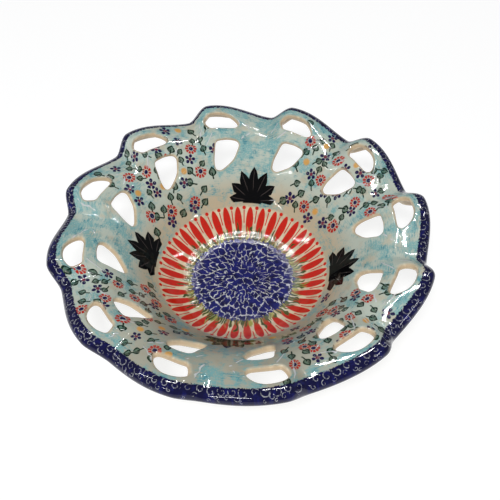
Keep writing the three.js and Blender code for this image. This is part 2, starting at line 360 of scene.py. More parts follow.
class Clay:
    """Gathers the points, faces and painting places of one closed piece."""

    def __init__(self) -> None:
        """Starts an empty piece."""
        self.points: list[Array] = []
        self.normals: list[Array] = []
        self.places: list[Array] = []
        self.rims: list[Array] = []
        self.cuts: list[Array] = []
        self.faces: list[tuple[int, ...]] = []
        self.slots: list[int] = []
        self.count = 0

    def add(
        self,
        points: Array,
        normals: Array | None,
        place: Array,
        rim: Array | None = None,
        cut: float = 0.0,
    ) -> Array:
        """Adds points.

        Args:
            points: Places in millimetres.
            normals: Normals to shade them with, or None to take them from the faces.
            place: Places on the unrolled painting plane, in millimetres.
            rim: Places along and across the lip, or None.
            cut: How far the points belong to a cut edge, from 0 to 1.

        Returns:
            The numbers of the new points.
        """
        size = len(points)
        self.points.append(points)
        self.normals.append(np.zeros((size, 3)) if normals is None else normals)
        self.places.append(place)
        self.rims.append(np.zeros((size, 2)) if rim is None else rim)
        self.cuts.append(np.full(size, cut))
        numbers = np.arange(self.count, self.count + size)
        self.count += size
        return numbers

    def strip(self, first: Array, second: Array, slot: Face) -> None:
        """Joins two closed rings of equal length with four-sided faces."""
        for a, b, c, d in zip(first, np.roll(first, -1), np.roll(second, -1), second):
            self.face((int(a), int(b), int(c), int(d)), slot)

    def face(self, corners: tuple[int, ...], slot: Face) -> None:
        """Adds one face."""
        self.faces.append(corners)
        self.slots.append(int(slot))

    def fire(self, name: str, turns: float) -> Object:
        """Makes the mesh object.

        Args:
            name: Name of the piece.
            turns: Length of the rim's painting place along a whole turn.

        Returns:
            The new object, linked to the scene.
        """
        mesh = bpy.data.meshes.new(name)
        points = np.concatenate(self.points) * METRES
        mesh.from_pydata(points.tolist(), [], self.faces)
        mesh.polygons.foreach_set("material_index", self.slots)
        mesh.polygons.foreach_set("use_smooth", [True] * len(self.faces))
        corners = np.zeros(len(mesh.loops), dtype=np.int32)
        mesh.loops.foreach_get("vertex_index", corners)
        self._lay_places(mesh, corners, turns)
        cut = mesh.attributes.new(CUT_SHARE, "FLOAT", "POINT")
        cut.data.foreach_set("value", np.concatenate(self.cuts))
        self._shade(mesh)
        piece = bpy.data.objects.new(name, mesh)
        bpy.context.scene.collection.objects.link(piece)
        return piece

    def _lay_places(self, mesh: Mesh, corners: Array, turns: float) -> None:
        """Writes the painting places as UV maps.

        Args:
            mesh: Mesh to write on.
            corners: Point number of each face corner.
            turns: Length of the rim's place along a whole turn.
        """
        unrolled = mesh.uv_layers.new(name=UNROLLED)
        unrolled.data.foreach_set("uv", np.concatenate(self.places)[corners].ravel())
        rim = np.concatenate(self.rims)[corners]
        start = 0
        for corners_of_face in self.faces:
            end = start + len(corners_of_face)
            along = rim[start:end, 0]
            if along.max() - along.min() > turns / 2.0:
                along[along < turns / 2.0] += turns
            start = end
        layer = mesh.uv_layers.new(name=RIM_PLACE)
        layer.data.foreach_set("uv", rim.ravel())

    def _shade(self, mesh: Mesh) -> None:
        """Shades with the true normals of the surface where they are known.

        Args:
            mesh: Mesh to shade.
        """
        known = np.concatenate(self.normals)
        found = np.zeros(len(mesh.vertices) * 3, dtype=np.float32)
        mesh.vertex_normals.foreach_get("vector", found)
        found = found.reshape(-1, 3)
        given = np.linalg.norm(known, axis=1) > 0.5
        found[given] = known[given]
        mesh.normals_split_custom_set_from_vertices(found.tolist())


def unroll(slant: Array, angle: Array) -> Array:
    """Places on the flat painting plane."""
    return np.stack([slant * np.cos(angle), slant * np.sin(angle)], axis=-1)


class Ring:
    """Makes the rings of points that the glazed pieces share."""

    def __init__(self, surface: BowlSurface, clay: Clay) -> None:
        """Takes the surface to follow and the piece to fill."""
        self.surface = surface
        self.clay = clay

    def top(self, slant: float, columns: int) -> Array:
        """Adds a ring on the inside face.

        Args:
            slant: Way up from the centre.
            columns: Points in the ring.

        Returns:
            The numbers of its points.
        """
        slants, angles = self._spread(slant, columns)
        inside = self.surface.inside(slants, angles)
        return self.clay.add(inside, self.surface.normal(slants, angles), unroll(slants, angles))

    def below(self, slant: float, columns: int) -> Array:
        """Adds a ring on the outside face.

        Args:
            slant: Way up from the centre.
            columns: Points in the ring.

        Returns:
            The numbers of its points.
        """
        slants, angles = self._spread(slant, columns)
        under = self.surface.under(slants, angles)
        return self.clay.add(under, -self.surface.normal(slants, angles), unroll(slants, angles))

    @staticmethod
    def _spread(slant: float, columns: int) -> tuple[Array, Array]:
        """Slants and angles of a whole ring."""
        angles = np.arange(columns) * FULL_TURN / columns
        return np.full(columns, slant), angles


@dataclass(frozen=True)
class GlazeColours:
    """Colours of the painted glaze."""

    cobalt: Colour = paint(24, 29, 110)
    deep_cobalt: Colour = paint(10, 10, 54)
    milk: Colour = paint(206, 208, 210)
    cream: Colour = paint(230, 212, 180)
    stone: Colour = paint(193, 202, 189)
    warm: Colour = paint(194, 178, 150)
    aqua: Colour = paint(96, 168, 174)
    lagoon: Colour = paint(48, 126, 144)
    red: Colour = paint(206, 32, 16)
    brick: Colour = paint(104, 46, 34)
    ink: Colour = paint(8, 8, 10)
    bronze: Colour = paint(70, 62, 60)
    leaf: Colour = paint(18, 43, 31)
    sage: Colour = paint(76, 108, 88)
    lime: Colour = paint(158, 158, 76)
    moss: Colour = paint(58, 70, 26)
    navy: Colour = paint(32, 28, 72)
    plum: Colour = paint(122, 52, 72)
    coral: Colour = paint(180, 46, 36)
    ochre: Colour = paint(222, 158, 58)
    biscuit: Colour = paint(198, 178, 148)
    toast: Colour = paint(142, 96, 62)
    # clay: darker grey-brown, painted shade on the near side of the wall
    clay: Colour = paint(160, 151, 132)


GLAZE = GlazeColours()


@dataclass(frozen=True)
class Grain:
    """Soft noise: size of a blot in millimetres, number of finer layers and their strength."""

    size: float
    detail: float = 2.0
    rough: float = 0.6


@dataclass(frozen=True)
class Patches:
    """Mask of soft patches: a grain, and the levels of its noise where the mask is 0 and 1."""

    grain: Grain
    low: float
    high: float


class Value:
    """A shader socket that can be reckoned with like a number."""

    def __init__(self, socket: Socket) -> None:
        """Takes the socket and finds its tree."""
        self.socket = socket
        self.tree: NodeTree = socket.id_data

    def math(self, operation: str, *others: "Given") -> "Value":
        """Adds a Math node.

        Args:
            operation: Name of the operation.
            others: Its inputs after this value.

        Returns:
            The result.
        """
        node = self.tree.nodes.new("ShaderNodeMath")
        node.operation = operation
        for socket, given in zip(node.inputs, (self, *others)):
            fill(socket, given)
        return Value(node.outputs[0])

    def __add__(self, other: "Given") -> "Value":
        """Sum of two values."""
        return self.math("ADD", other)

    def __sub__(self, other: "Given") -> "Value":
        """This value less another."""
        return self.math("SUBTRACT", other)

    def __rsub__(self, other: float) -> "Value":
        """A number less this value."""
        return self * -1.0 + other

    def __mul__(self, other: "Given") -> "Value":
        """Product of two values."""
        return self.math("MULTIPLY", other)

    def __truediv__(self, other: "Given") -> "Value":
        """This value divided by another."""
        return self.math("DIVIDE", other)

    def __pow__(self, power: float) -> "Value":
        """This value to a power."""
        return self.math("POWER", power)

    def __or__(self, other: "Given") -> "Value":
        """Larger of two masks."""
        return self.math("MAXIMUM", other)

    def __abs__(self) -> "Value":
        """This value without its sign."""
        return self.math("ABSOLUTE")

    def sine(self) -> "Value":
        """Sine of this angle."""
        return self.math("SINE")

    def cosine(self) -> "Value":
        """Cosine of this angle."""
        return self.math("COSINE")

    def capped(self) -> "Value":
        """This share cut off at 0 and 1."""
        return self.math("MINIMUM", 1.0).math("MAXIMUM", 0.0)

    def below(self, limit: "Given") -> "Value":
        """1 where this value is below a limit, and 0 elsewhere."""
        return self.math("LESS_THAN", limit)

    def smooth(self, low: "Given", high: "Given") -> "Value":
        """Eases this value from 0 at low to 1 at high, which may be the smaller one.

        Args:
            low: Where the result is 0.
            high: Where the result is 1.

        Returns:
            The eased share.
        """
        node = self.tree.nodes.new("ShaderNodeMapRange")
        node.interpolation_type = "SMOOTHSTEP"
        for name, given in (("Value", self), ("From Min", low), ("From Max", high)):
            fill(node.inputs[name], given)
        return Value(node.outputs[0])

    def near(self, centre: "Given", half: "Given", soft: float) -> "Value":
        """Mask of values within a half width of a centre, with a soft edge."""
        return (abs(self - centre) - half).smooth(soft, -soft)

    def window(self, start: Span, end: Span) -> "Value":
        """Mask that eases in over one span and out over another."""
        return self.smooth(*start) * self.smooth(*end)

    def mix(self, first: "Given", second: "Given") -> "Value":
        """Mixes two colours, with this value as the share of the second.

        Args:
            first: First colour.
            second: Second colour.

        Returns:
            The mixed colour.
        """
        node = self.tree.nodes.new("ShaderNodeMix")
        node.data_type = "RGBA"
        for number, given in ((0, self), (6, first), (7, second)):
            fill(node.inputs[number], given)
        return Value(node.outputs[2])

    def sector(self, count: float, start: float = 0.0) -> tuple["Value", "Value"]:
        """Folds this angle into equal sectors.

        Args:
            count: Number of sectors in a turn.
            start: Angle of the middle of the first sector.

        Returns:
            The angle from the middle of its sector, and the sector's number.
        """
        sectors = (self - start) / FULL_TURN * count
        number = (sectors + 0.5).math("FLOOR")
        return (sectors - number) * FULL_TURN / count, number

    def chance(self, count: float, key: float) -> tuple["Value", ...]:
        """Gives fixed chances to the numbered strokes of a ring, with this value as the number.

        Args:
            count: Strokes in a turn.
            key: Value that sets the ring apart from others.

        Returns:
            Three chances from 0 to 1.
        """
        node = self.tree.nodes.new("ShaderNodeTexWhiteNoise")
        node.noise_dimensions = "2D"
        fill(node.inputs["Vector"], self.math("WRAP", count, 0.0).join(key))
        return Place(node.outputs["Color"]).split()

    def join(self, y: "Given", z: "Given" = 0.0) -> "Place":
        """Makes a place that starts with this value.

        Args:
            y: Second coordinate.
            z: Third coordinate.

        Returns:
            The place.
        """
        node = self.tree.nodes.new("ShaderNodeCombineXYZ")
        for socket, given in zip(node.inputs, (self, y, z)):
            fill(socket, given)
        return Place(node.outputs[0])


class Place(Value):
    """A vector socket, mostly a place in millimetres."""

    def vector(self, operation: str, other: "Given" = 0.0) -> "Place":
        """Adds a Vector Math node.

        Args:
            operation: Name of the operation.
            other: Second vector, or a plain number for a scale.

        Returns:
            The resulting vector.
        """
        node = self.tree.nodes.new("ShaderNodeVectorMath")
        node.operation = operation
        fill(node.inputs[0], self)
        if operation == "SCALE":
            fill(node.inputs["Scale"], other)
        elif other:
            fill(node.inputs[1], other)
        return Place(node.outputs[0])

    def __add__(self, other: "Given") -> "Place":
        """This place moved by a vector."""
        return self.vector("ADD", other)

    def __sub__(self, other: "Given") -> "Place":
        """The way to this place from another."""
        return self.vector("SUBTRACT", other)

    def __mul__(self, factor: float) -> "Place":
        """This place times a factor."""
        return self.vector("SCALE", factor)

    def split(self) -> tuple[Value, ...]:
        """Splits this place.

        Returns:
            The three coordinates.
        """
        node = self.tree.nodes.new("ShaderNodeSeparateXYZ")
        fill(node.inputs[0], self)
        return tuple(Value(socket) for socket in node.outputs)

    def centred(self) -> tuple[Value, Value]:
        """Distance from the middle of the plane, and the angle there."""
        x, y, _ = self.split()
        return polar(x, y)

    def noise_node(self, grain: Grain) -> Node:
        """Adds soft noise.

        Args:
            grain: Size and detail of the noise.

        Returns:
            The node of the noise.
        """
        node = self.tree.nodes.new("ShaderNodeTexNoise")
        fill(node.inputs["Vector"], self)
        node.inputs["Scale"].default_value = 1.0 / grain.size
        node.inputs["Detail"].default_value = grain.detail
        node.inputs["Roughness"].default_value = grain.rough
        return node

    def noise(self, grain: Grain) -> Value:
        """Soft noise about 0.5."""
        return Value(self.noise_node(grain).outputs[0])

    def swing(self, grain: Grain, reach: float = 1.0) -> Value:
        """Soft noise about 0, times a reach."""
        return (self.noise(grain) - 0.5) * reach

    def patches(self, patches: Patches) -> Value:
        """Mask of soft patches."""
        return self.noise(patches.grain).smooth(patches.low, patches.high)

    def cells(self, stray: float, feature: str = "F1") -> Node:
        """Adds flat cells one unit wide.

        Args:
            stray: How far the cells stray from a grid.
            feature: What the cells give.

        Returns:
            The node of the cells.
        """
        node = self.tree.nodes.new("ShaderNodeTexVoronoi")
        node.voronoi_dimensions = "2D"
        node.feature = feature
        fill(node.inputs["Vector"], self)
        node.inputs["Scale"].default_value = 1.0
        node.inputs["Randomness"].default_value = stray
        return node


Given = Value | float | Sequence[float]


def fill(socket: Socket, given: Given) -> None:
    """Links an input to a value, or sets it to plain numbers.

    Args:
        socket: Input to fill.
        given: Value to link from, or plain numbers.
    """
    if isinstance(given, Value):
        socket.id_data.links.new(given.socket, socket)
    else:
        socket.default_value = given


def polar(x: Value, y: Value) -> tuple[Value, Value]:
    """Distance of a flat place from the middle, and the angle there."""
    return (x * x + y * y).math("SQRT"), y.math("ARCTAN2", x)


def stretched(slant: Value, angle: Value, around: float, up: float) -> Place:
    """Place for strokes, with the angle laid out on a radius and the slant times a factor."""
    return (angle.cosine() * around).join(angle.sine() * around, slant * up)


class Effect:
    """A shader node group that is built once and placed where it is needed."""

    built: dict[str, NodeTree] = {}

    def __init__(self, name: str, takes: dict[str, str], gives: dict[str, str]) -> None:
        """Makes the group and its sockets, with a place first.

        Args:
            name: Name of the effect.
            takes: Names and kinds of its inputs besides the place.
            gives: Names and kinds of its outputs.
        """
        tree = bpy.data.node_groups.new(name, "ShaderNodeTree")
        for way, sockets in (("INPUT", {"Place": "Vector", **takes}), ("OUTPUT", gives)):
            for title, kind in sockets.items():
                tree.interface.new_socket(title, in_out=way, socket_type="NodeSocket" + kind)
        inputs = tree.nodes.new("NodeGroupInput").outputs
        self.place = Place(inputs["Place"])
        self.inputs = {title: Value(inputs[title]) for title in takes}
        self.outputs = tree.nodes.new("NodeGroupOutput").inputs
        Effect.built[name] = tree

    @staticmethod
    def put(name: str, place: Place, **given: Given) -> dict[str, Value]:
        """Puts an effect in the tree of a place.

        Args:
            name: Name of the effect.
            place: Place that it follows.
            given: Its other inputs by name.

        Returns:
            Its outputs by name.
        """
        node = place.tree.nodes.new("ShaderNodeGroup")
        node.node_tree = Effect.built[name]
        for title, value in {"Place": place, **given}.items():
            fill(node.inputs[title], value)
        return {socket.name: Value(socket) for socket in node.outputs}


@dataclass(frozen=True)
class Quarters:
    """The four repeats of the painting round the wall, with their first angles in degrees."""

    count: float = 4.0
    sprays: float = 30.0
    fans: float = 75.0


@dataclass(frozen=True)
class SpongeClouds:
    """Streaky aqua over pale cream, strongest by the rim and between the sprays, with painted shade: a darker
    grey-brown on the near side of the wall, about 255 degrees round.
    """

    surface: BowlSurface
    clouds: Grain = Grain(21.0, 2.0, 0.55)
    dabs: Grain = Grain(3.4, 3.0, 0.65)
    dab_stretch: Span = (105.0, 0.8)
    dab_share: float = 0.5
    hairs: Grain = Grain(1.5)
    hair_stretch: Span = (30.0, 1.6)
    hair_share: float = 0.42
    density: Patches = Patches(Grain(1.3), 0.15, 0.6)
    aqua_span: Span = (0.4, 0.66)
    aqua_share: float = 0.8
    spots: Grain = Grain(8.5, 3.0)
    spot_hairs: float = 0.5
    spot_span: Span = (0.52, 0.72)
    warmth: Patches = Patches(Grain(17.0, 3.0), 0.48, 0.7)
    warmth_shift: Point = (40.0, 90.0, 0.0)
    warmth_share: float = 0.6
    warm_rise: Span = (30.0, 4.0)
    # Painted shade on the near side of the wall: span of the cosine and share of the darker clay grey-brown.
    near_shade_span: Span = (0.5, 1.0)
    near_shade_share: float = 0.7
    between_angles: Span = (36.0, 10.0)
    between_rise: Span = (12.0, 34.0)
    between_gain: float = 0.11
    full_angle: float = 115.0
    full_swing: float = 0.3
    full_level: float = 0.85
    rim_rise: Span = (-26.0, -9.0)
    rim_gain: float = 0.05
    level_drop: float = 0.07

    def build(self) -> None:
        """Draws the group."""
        effect = Effect("sponge_clouds", {"Aqua": "Float"}, {"Color": "Color"})
        place = effect.place
        extra = effect.inputs["Aqua"]
        slant, angle = place.centred()
        dabs = stretched(slant, angle, *self.dab_stretch).swing(self.dabs)
        hairs = stretched(slant, angle, *self.hair_stretch).swing(self.hairs)
        level = place.noise(self.clouds) + dabs * self.dab_share + hairs * self.hair_share
        level = level + self._aqua_zone(slant, angle) + extra
        aqua = level.smooth(*self.aqua_span) * place.patches(self.density)
        deeper = place.noise(self.spots) + hairs * self.spot_hairs + extra
        spots = deeper.smooth(*self.spot_span)
        warmth = (place + self.warmth_shift).patches(self.warmth)
        low = slant.smooth(*beyond(self.surface.band_edge, self.warm_rise))
        # Painted shade: the near side of the wall, round 255 degrees, turns to the darker clay grey-brown.
        bearing = angle - (math.radians(Quarters.fans) + math.pi)
        near = bearing.cosine().smooth(*self.near_shade_span)
        base = (warmth * self.warmth_share | low).mix(GLAZE.stone, GLAZE.warm)
        base = (near * self.near_shade_share).mix(base, GLAZE.clay)
        colour = (aqua * self.aqua_share).mix(base, GLAZE.aqua)
        fill(effect.outputs["Color"], (spots * aqua * self.aqua_share).mix(colour, GLAZE.lagoon))

    def _aqua_zone(self, slant: Value, angle: Value) -> Value:
        """How much more aqua there is between the sprays and by the rim.

        Args:
            slant: Way up from the centre.
            angle: Angle about the upright axis.

        Returns:
            The change of the level of aqua.
        """
        away, _ = angle.sector(Quarters.count, math.radians(Quarters.fans))
        between = abs(away).smooth(*map(math.radians, self.between_angles))
        high = slant.smooth(*beyond(self.surface.band_edge, self.between_rise))
        uneven = (angle - math.radians(self.full_angle)).cosine() * self.full_swing + self.full_level
        rim = slant.smooth(*beyond(self.surface.crest, self.rim_rise))
        return between * high * uneven * self.between_gain + rim * self.rim_gain - self.level_drop


@dataclass(frozen=True)
class GlazeSkin:
    """Slow ripples and fine pits of a thick clear glaze."""

    ripple: Grain = Grain(9.0, 1.0, 0.5)
    ripple_height: float = 0.34
    wobble: Grain = Grain(3.2, 1.0, 0.5)
    wobble_height: float = 0.05
    pits: Patches = Patches(Grain(0.9, 0.0, 0.5), 0.3, 0.16)
    pit_depth: float = 0.015
    clouds: Patches = Patches(Grain(14.0, 3.0), 0.3, 0.75)
    cloud_roughness: float = 0.05
    roughness: float = 0.03

    def build(self) -> None:
        """Draws the group."""
        effect = Effect("glaze_skin", {}, {"Height": "Float", "Roughness": "Float"})
        place = effect.place
        height = place.noise(self.ripple) * self.ripple_height + place.noise(self.wobble) * self.wobble_height
        fill(effect.outputs["Height"], height - place.patches(self.pits) * self.pit_depth)
        cloudy = place.patches(self.clouds) * self.cloud_roughness
        fill(effect.outputs["Roughness"], cloudy + self.roughness)


@dataclass(frozen=True)
class EdgeBreak:
    """Bare-looking biscuit on cut edges, browner in patches across the middle of each cut face."""

    patches: Grain = Grain(6.0, 3.0)
    cream_span: Span = (0.4, 0.75)
    cut_span: Span = (0.1, 0.85)
    mid_cut_span: Span = (0.7, 1.0)
    toast_span: Span = (0.38, 0.62)
    toast_share: float = 0.28

    def build(self) -> None:
        """Draws the group."""
        effect = Effect("edge_break", {"Color": "Color", "Cut": "Float"}, {"Color": "Color"})
        cut = effect.inputs["Cut"]
        patch = effect.place.noise(self.patches)
        biscuit = patch.smooth(*self.cream_span).mix(GLAZE.biscuit, GLAZE.cream)
        colour = cut.smooth(*self.cut_span).mix(effect.inputs["Color"], biscuit)
        # Browner toast patches across the middle of each cut face.
        shade = cut.smooth(*self.mid_cut_span) * patch.smooth(*self.toast_span) * self.toast_share
        fill(effect.outputs["Color"], shade.mix(colour, GLAZE.toast))


@dataclass(frozen=True)
class RaggedEdge:
    """Uneven reach of the brush strokes where the medallion meets the band, in millimetres."""

    strokes: Grain = Grain(1.6)
    stretch: Span = (40.0, 0.35)
    reach: float = 9.0

    def build(self) -> None:
        """Draws the group."""
        effect = Effect("ragged_edge", {}, {"Shift": "Float"})
        slant, angle = effect.place.centred()
        strokes = stretched(slant, angle, *self.stretch)
        fill(effect.outputs["Shift"], strokes.swing(self.strokes, self.reach))


@dataclass(frozen=True)
class SquiggleNet:
    """Broken milk-white lines that net the cobalt medallion and are drawn out towards its edge."""

    bend: Grain = Grain(10.0 / 3.0, 1.0, 0.5)
    bend_middle: Point = (0.5, 0.5, 0.5)
    bend_reach: float = 4.2
    mesh: float = 5.6
    stray: float = 0.95
    drawn_around: float = 6.7
    drawn_up: float = 0.135
    drawn_mesh: float = 4.2
    drawn_from: Span = (13.0, 14.0)
    weight: Grain = Grain(2.6, 1.0, 0.5)
    weight_swing: float = 0.8
    weight_drop: float = 0.22
    line_span: Span = (0.16, -0.08)
    breaks: Patches = Patches(Grain(3.4, 1.0, 0.5), 0.36, 0.48)
    break_shift: Point = (31.0, 7.0, 0.0)

    def build(self) -> None:
        """Draws the group."""
        effect = Effect("squiggle_net", {}, {"Mask": "Float"})
        place = effect.place
        bend = Place(place.noise_node(self.bend).outputs["Color"])
        bent = place + (bend - self.bend_middle) * self.bend_reach
        radius, angle = bent.centred()
        drawn = (angle * self.drawn_around).join(radius * self.drawn_up)
        middle = self._edges(bent * (1.0 / self.mesh)) * self.mesh
        outer = self._edges(drawn) * self.drawn_mesh
        net = middle + (outer - middle) * radius.smooth(*self.drawn_from)
        thick = place.noise(self.weight) * self.weight_swing - self.weight_drop
        line = (net - thick).smooth(*self.line_span)
        fill(effect.outputs["Mask"], line * (place + self.break_shift).patches(self.breaks))

    def _edges(self, place: Place) -> Value:
        """Distance from the edges of loose cells."""
        return Value(place.cells(self.stray, "DISTANCE_TO_EDGE").outputs[0])


@dataclass(frozen=True)
class CurlRow:
    """One row of curls: sizes in millimetres, and shares of a curl that it is moved by and leaves out."""

    start: float
    centre: float
    inner: float
    outer: float
    stroke: float
    drop: float


@dataclass(frozen=True)
class RimCurls:
    """Number of curls along the lip, their pitch in millimetres and their rows."""

    count: int = 120
    pitch: float = 7.2
    rows: tuple[CurlRow, ...] = (
        CurlRow(start=0.0, centre=2.1, inner=0.25, outer=3.4, stroke=0.29, drop=0.02),
        CurlRow(start=0.5, centre=5.6, inner=0.1, outer=2.1, stroke=0.22, drop=0.2),
        CurlRow(start=0.2, centre=8.0, inner=0.1, outer=1.2, stroke=0.18, drop=0.5),
    )


@dataclass(frozen=True)
class CobaltLip:
    """Cobalt of the lip with its white curls, which spills unevenly onto the wall, in millimetres."""

    pools: Patches = Patches(Grain(5.0, 3.0), 0.15, 0.55)
    wear: Patches = Patches(Grain(1.3), 0.36, 0.64)
    curl_share: float = 0.62
    curl_lift: float = 1.2
    curl_swing: float = 0.4
    least_curl: float = 0.8
    curl_turn: float = 0.6
    stroke_soft: float = 0.14
    tail_span: Span = (0.02, 0.12)
    drop_soft: float = 0.05
    wide_angle: float = 280.0
    spill: float = 0.4
    spill_swing: float = 0.7
    tears: Grain = Grain(1.7)
    tear_reach: float = 3.4
    edge_span: Span = (-0.25, 0.25)
    outer_span: Span = (16.5, 16.0)

    def build(self) -> None:
        """Draws the group."""
        takes = {"Along": "Float", "Across": "Float"}
        effect = Effect("cobalt_lip", takes, {"Color": "Color", "Mask": "Float"})
        place = effect.place
        along = effect.inputs["Along"]
        across = effect.inputs["Across"]
        blue = place.patches(self.pools).mix(GLAZE.cobalt, GLAZE.deep_cobalt)
        first, second, third = (self._curl_row(along, across, row) for row in RimCurls.rows)
        curled = (first | second | third) * place.patches(self.wear) * self.curl_share
        fill(effect.outputs["Color"], curled.mix(blue, GLAZE.milk))
        turn = along * (FULL_TURN / RimCurls.count) - math.radians(self.wide_angle)
        torn = across + place.swing(self.tears, self.tear_reach)
        spilt = torn + turn.cosine() * self.spill_swing + self.spill
        fill(effect.outputs["Mask"], spilt.smooth(*self.edge_span) * torn.smooth(*self.outer_span))

    def _curl_row(self, along: Value, across: Value, row: CurlRow) -> Value:
        """Draws one row of curls.

        Args:
            along: Place along the rim, in curls.
            across: Place across the lip, in millimetres.
            row: Sizes of the row.

        Returns:
            The mask of the row.
        """
        moved = along + row.start
        number = moved.math("FLOOR")
        turn, lift, size = number.chance(float(RimCurls.count), row.centre)
        x = (moved - number - 0.5) * RimCurls.pitch
        y = across - (lift - 0.5) * self.curl_lift - row.centre
        scale = size * self.curl_swing + self.least_curl
        radius, angle = polar(x / scale, y / scale)
        share = (angle / FULL_TURN + turn * self.curl_turn + 1.0).math("FRACT")
        spiral = share * (row.outer - row.inner) + row.inner
        stroke = radius.near(spiral, row.stroke, self.stroke_soft)
        return stroke * share.smooth(*self.tail_span) * size.smooth(row.drop, row.drop + self.drop_soft)


@dataclass(frozen=True)
class DaisyStamp:
    """Red daisy with a dark eye, in millimetres."""

    petals: float = 10.0
    waist: float = 0.42
    widening: float = 0.55
    widen_span: Span = (1.4, 4.4)
    side_span: Span = (0.22, -0.16)
    start_span: Span = (2.0, 2.3)
    end_span: Span = (4.9, 4.45)
    eye_span: Span = (1.9, 1.45)

    def draw(self, radius: Value, angle: Value) -> tuple[Value, Value]:
        """Draws the petals and the eye.

        Args:
            radius: Distance from the stamp's middle.
            angle: Angle about the stamp's middle.

        Returns:
            The mask and the colour of the stamp.
        """
        away, _ = angle.sector(self.petals)
        width = radius.smooth(*self.widen_span) * self.widening + self.waist
        petal = (abs(radius * away.sine()) - width).smooth(*self.side_span)
        eye = radius.smooth(*self.eye_span)
        mask = petal * radius.window(self.start_span, self.end_span) | eye
        return mask, eye.mix(GLAZE.coral, GLAZE.navy)


@dataclass(frozen=True)
class BlueFlowerStamp:
    """Blue flower of round petals with a plum eye, in millimetres."""

    petals: float = 5.0
    petal_place: float = 2.95
    slimness: float = 1.12
    petal_span: Span = (1.75, 1.35)
    eye_span: Span = (1.65, 1.2)

    def draw(self, radius: Value, angle: Value) -> tuple[Value, Value]:
        """Draws the petals and the eye.

        Args:
            radius: Distance from the stamp's middle.
            angle: Angle about the stamp's middle.

        Returns:
            The mask and the colour of the stamp.
        """
        away, _ = angle.sector(self.petals)
        out = radius * away.cosine() - self.petal_place
        from_petal, _ = polar(out, radius * away.sine() * self.slimness)
        eye = radius.smooth(*self.eye_span)
        return from_petal.smooth(*self.petal_span) | eye, eye.mix(GLAZE.navy, GLAZE.plum)


@dataclass(frozen=True)
class LeafStamp:
    """Leaf with a dark outline, a half-filled blade and a stem, in millimetres."""

    foot: float = 2.0
    length: float = 6.6
    belly: float = 0.72
    half_width: float = 3.1
    edge_span: Span = (-0.05, 0.35)
    outline_span: Span = (1.8, 1.25)
    half_span: Span = (-0.3, 0.3)
    blade_share: float = 0.85
    stem_bend: float = 0.02
    stem_place: float = 0.25
    stem_half_width: float = 0.55
    stem_soft: float = 0.16
    stem_start: Span = (-5.6, -5.0)
    stem_end: Span = (0.8, 0.2)

    def draw(self, radius: Value, angle: Value) -> tuple[Value, Value]:
        """Draws the blade and the stem.

        Args:
            radius: Distance from the stamp's middle.
            angle: Angle about the stamp's middle, 0 towards the tip.

        Returns:
            The mask and the colour of the stamp.
        """
        x = radius * angle.sine()
        y = radius * angle.cosine()
        up = ((y + self.foot) / self.length).capped() ** self.belly
        inset = (up * math.pi).sine() * self.half_width - abs(x)
        whole = inset.smooth(*self.edge_span)
        outline = whole * inset.smooth(*self.outline_span)
        half = whole * x.smooth(*self.half_span) * self.blade_share
        stem = (x + y * y * self.stem_bend).near(self.stem_place, self.stem_half_width, self.stem_soft)
        dark = outline | half | stem * y.window(self.stem_start, self.stem_end)
        return dark | whole * self.blade_share, dark.mix(GLAZE.sage, GLAZE.leaf)


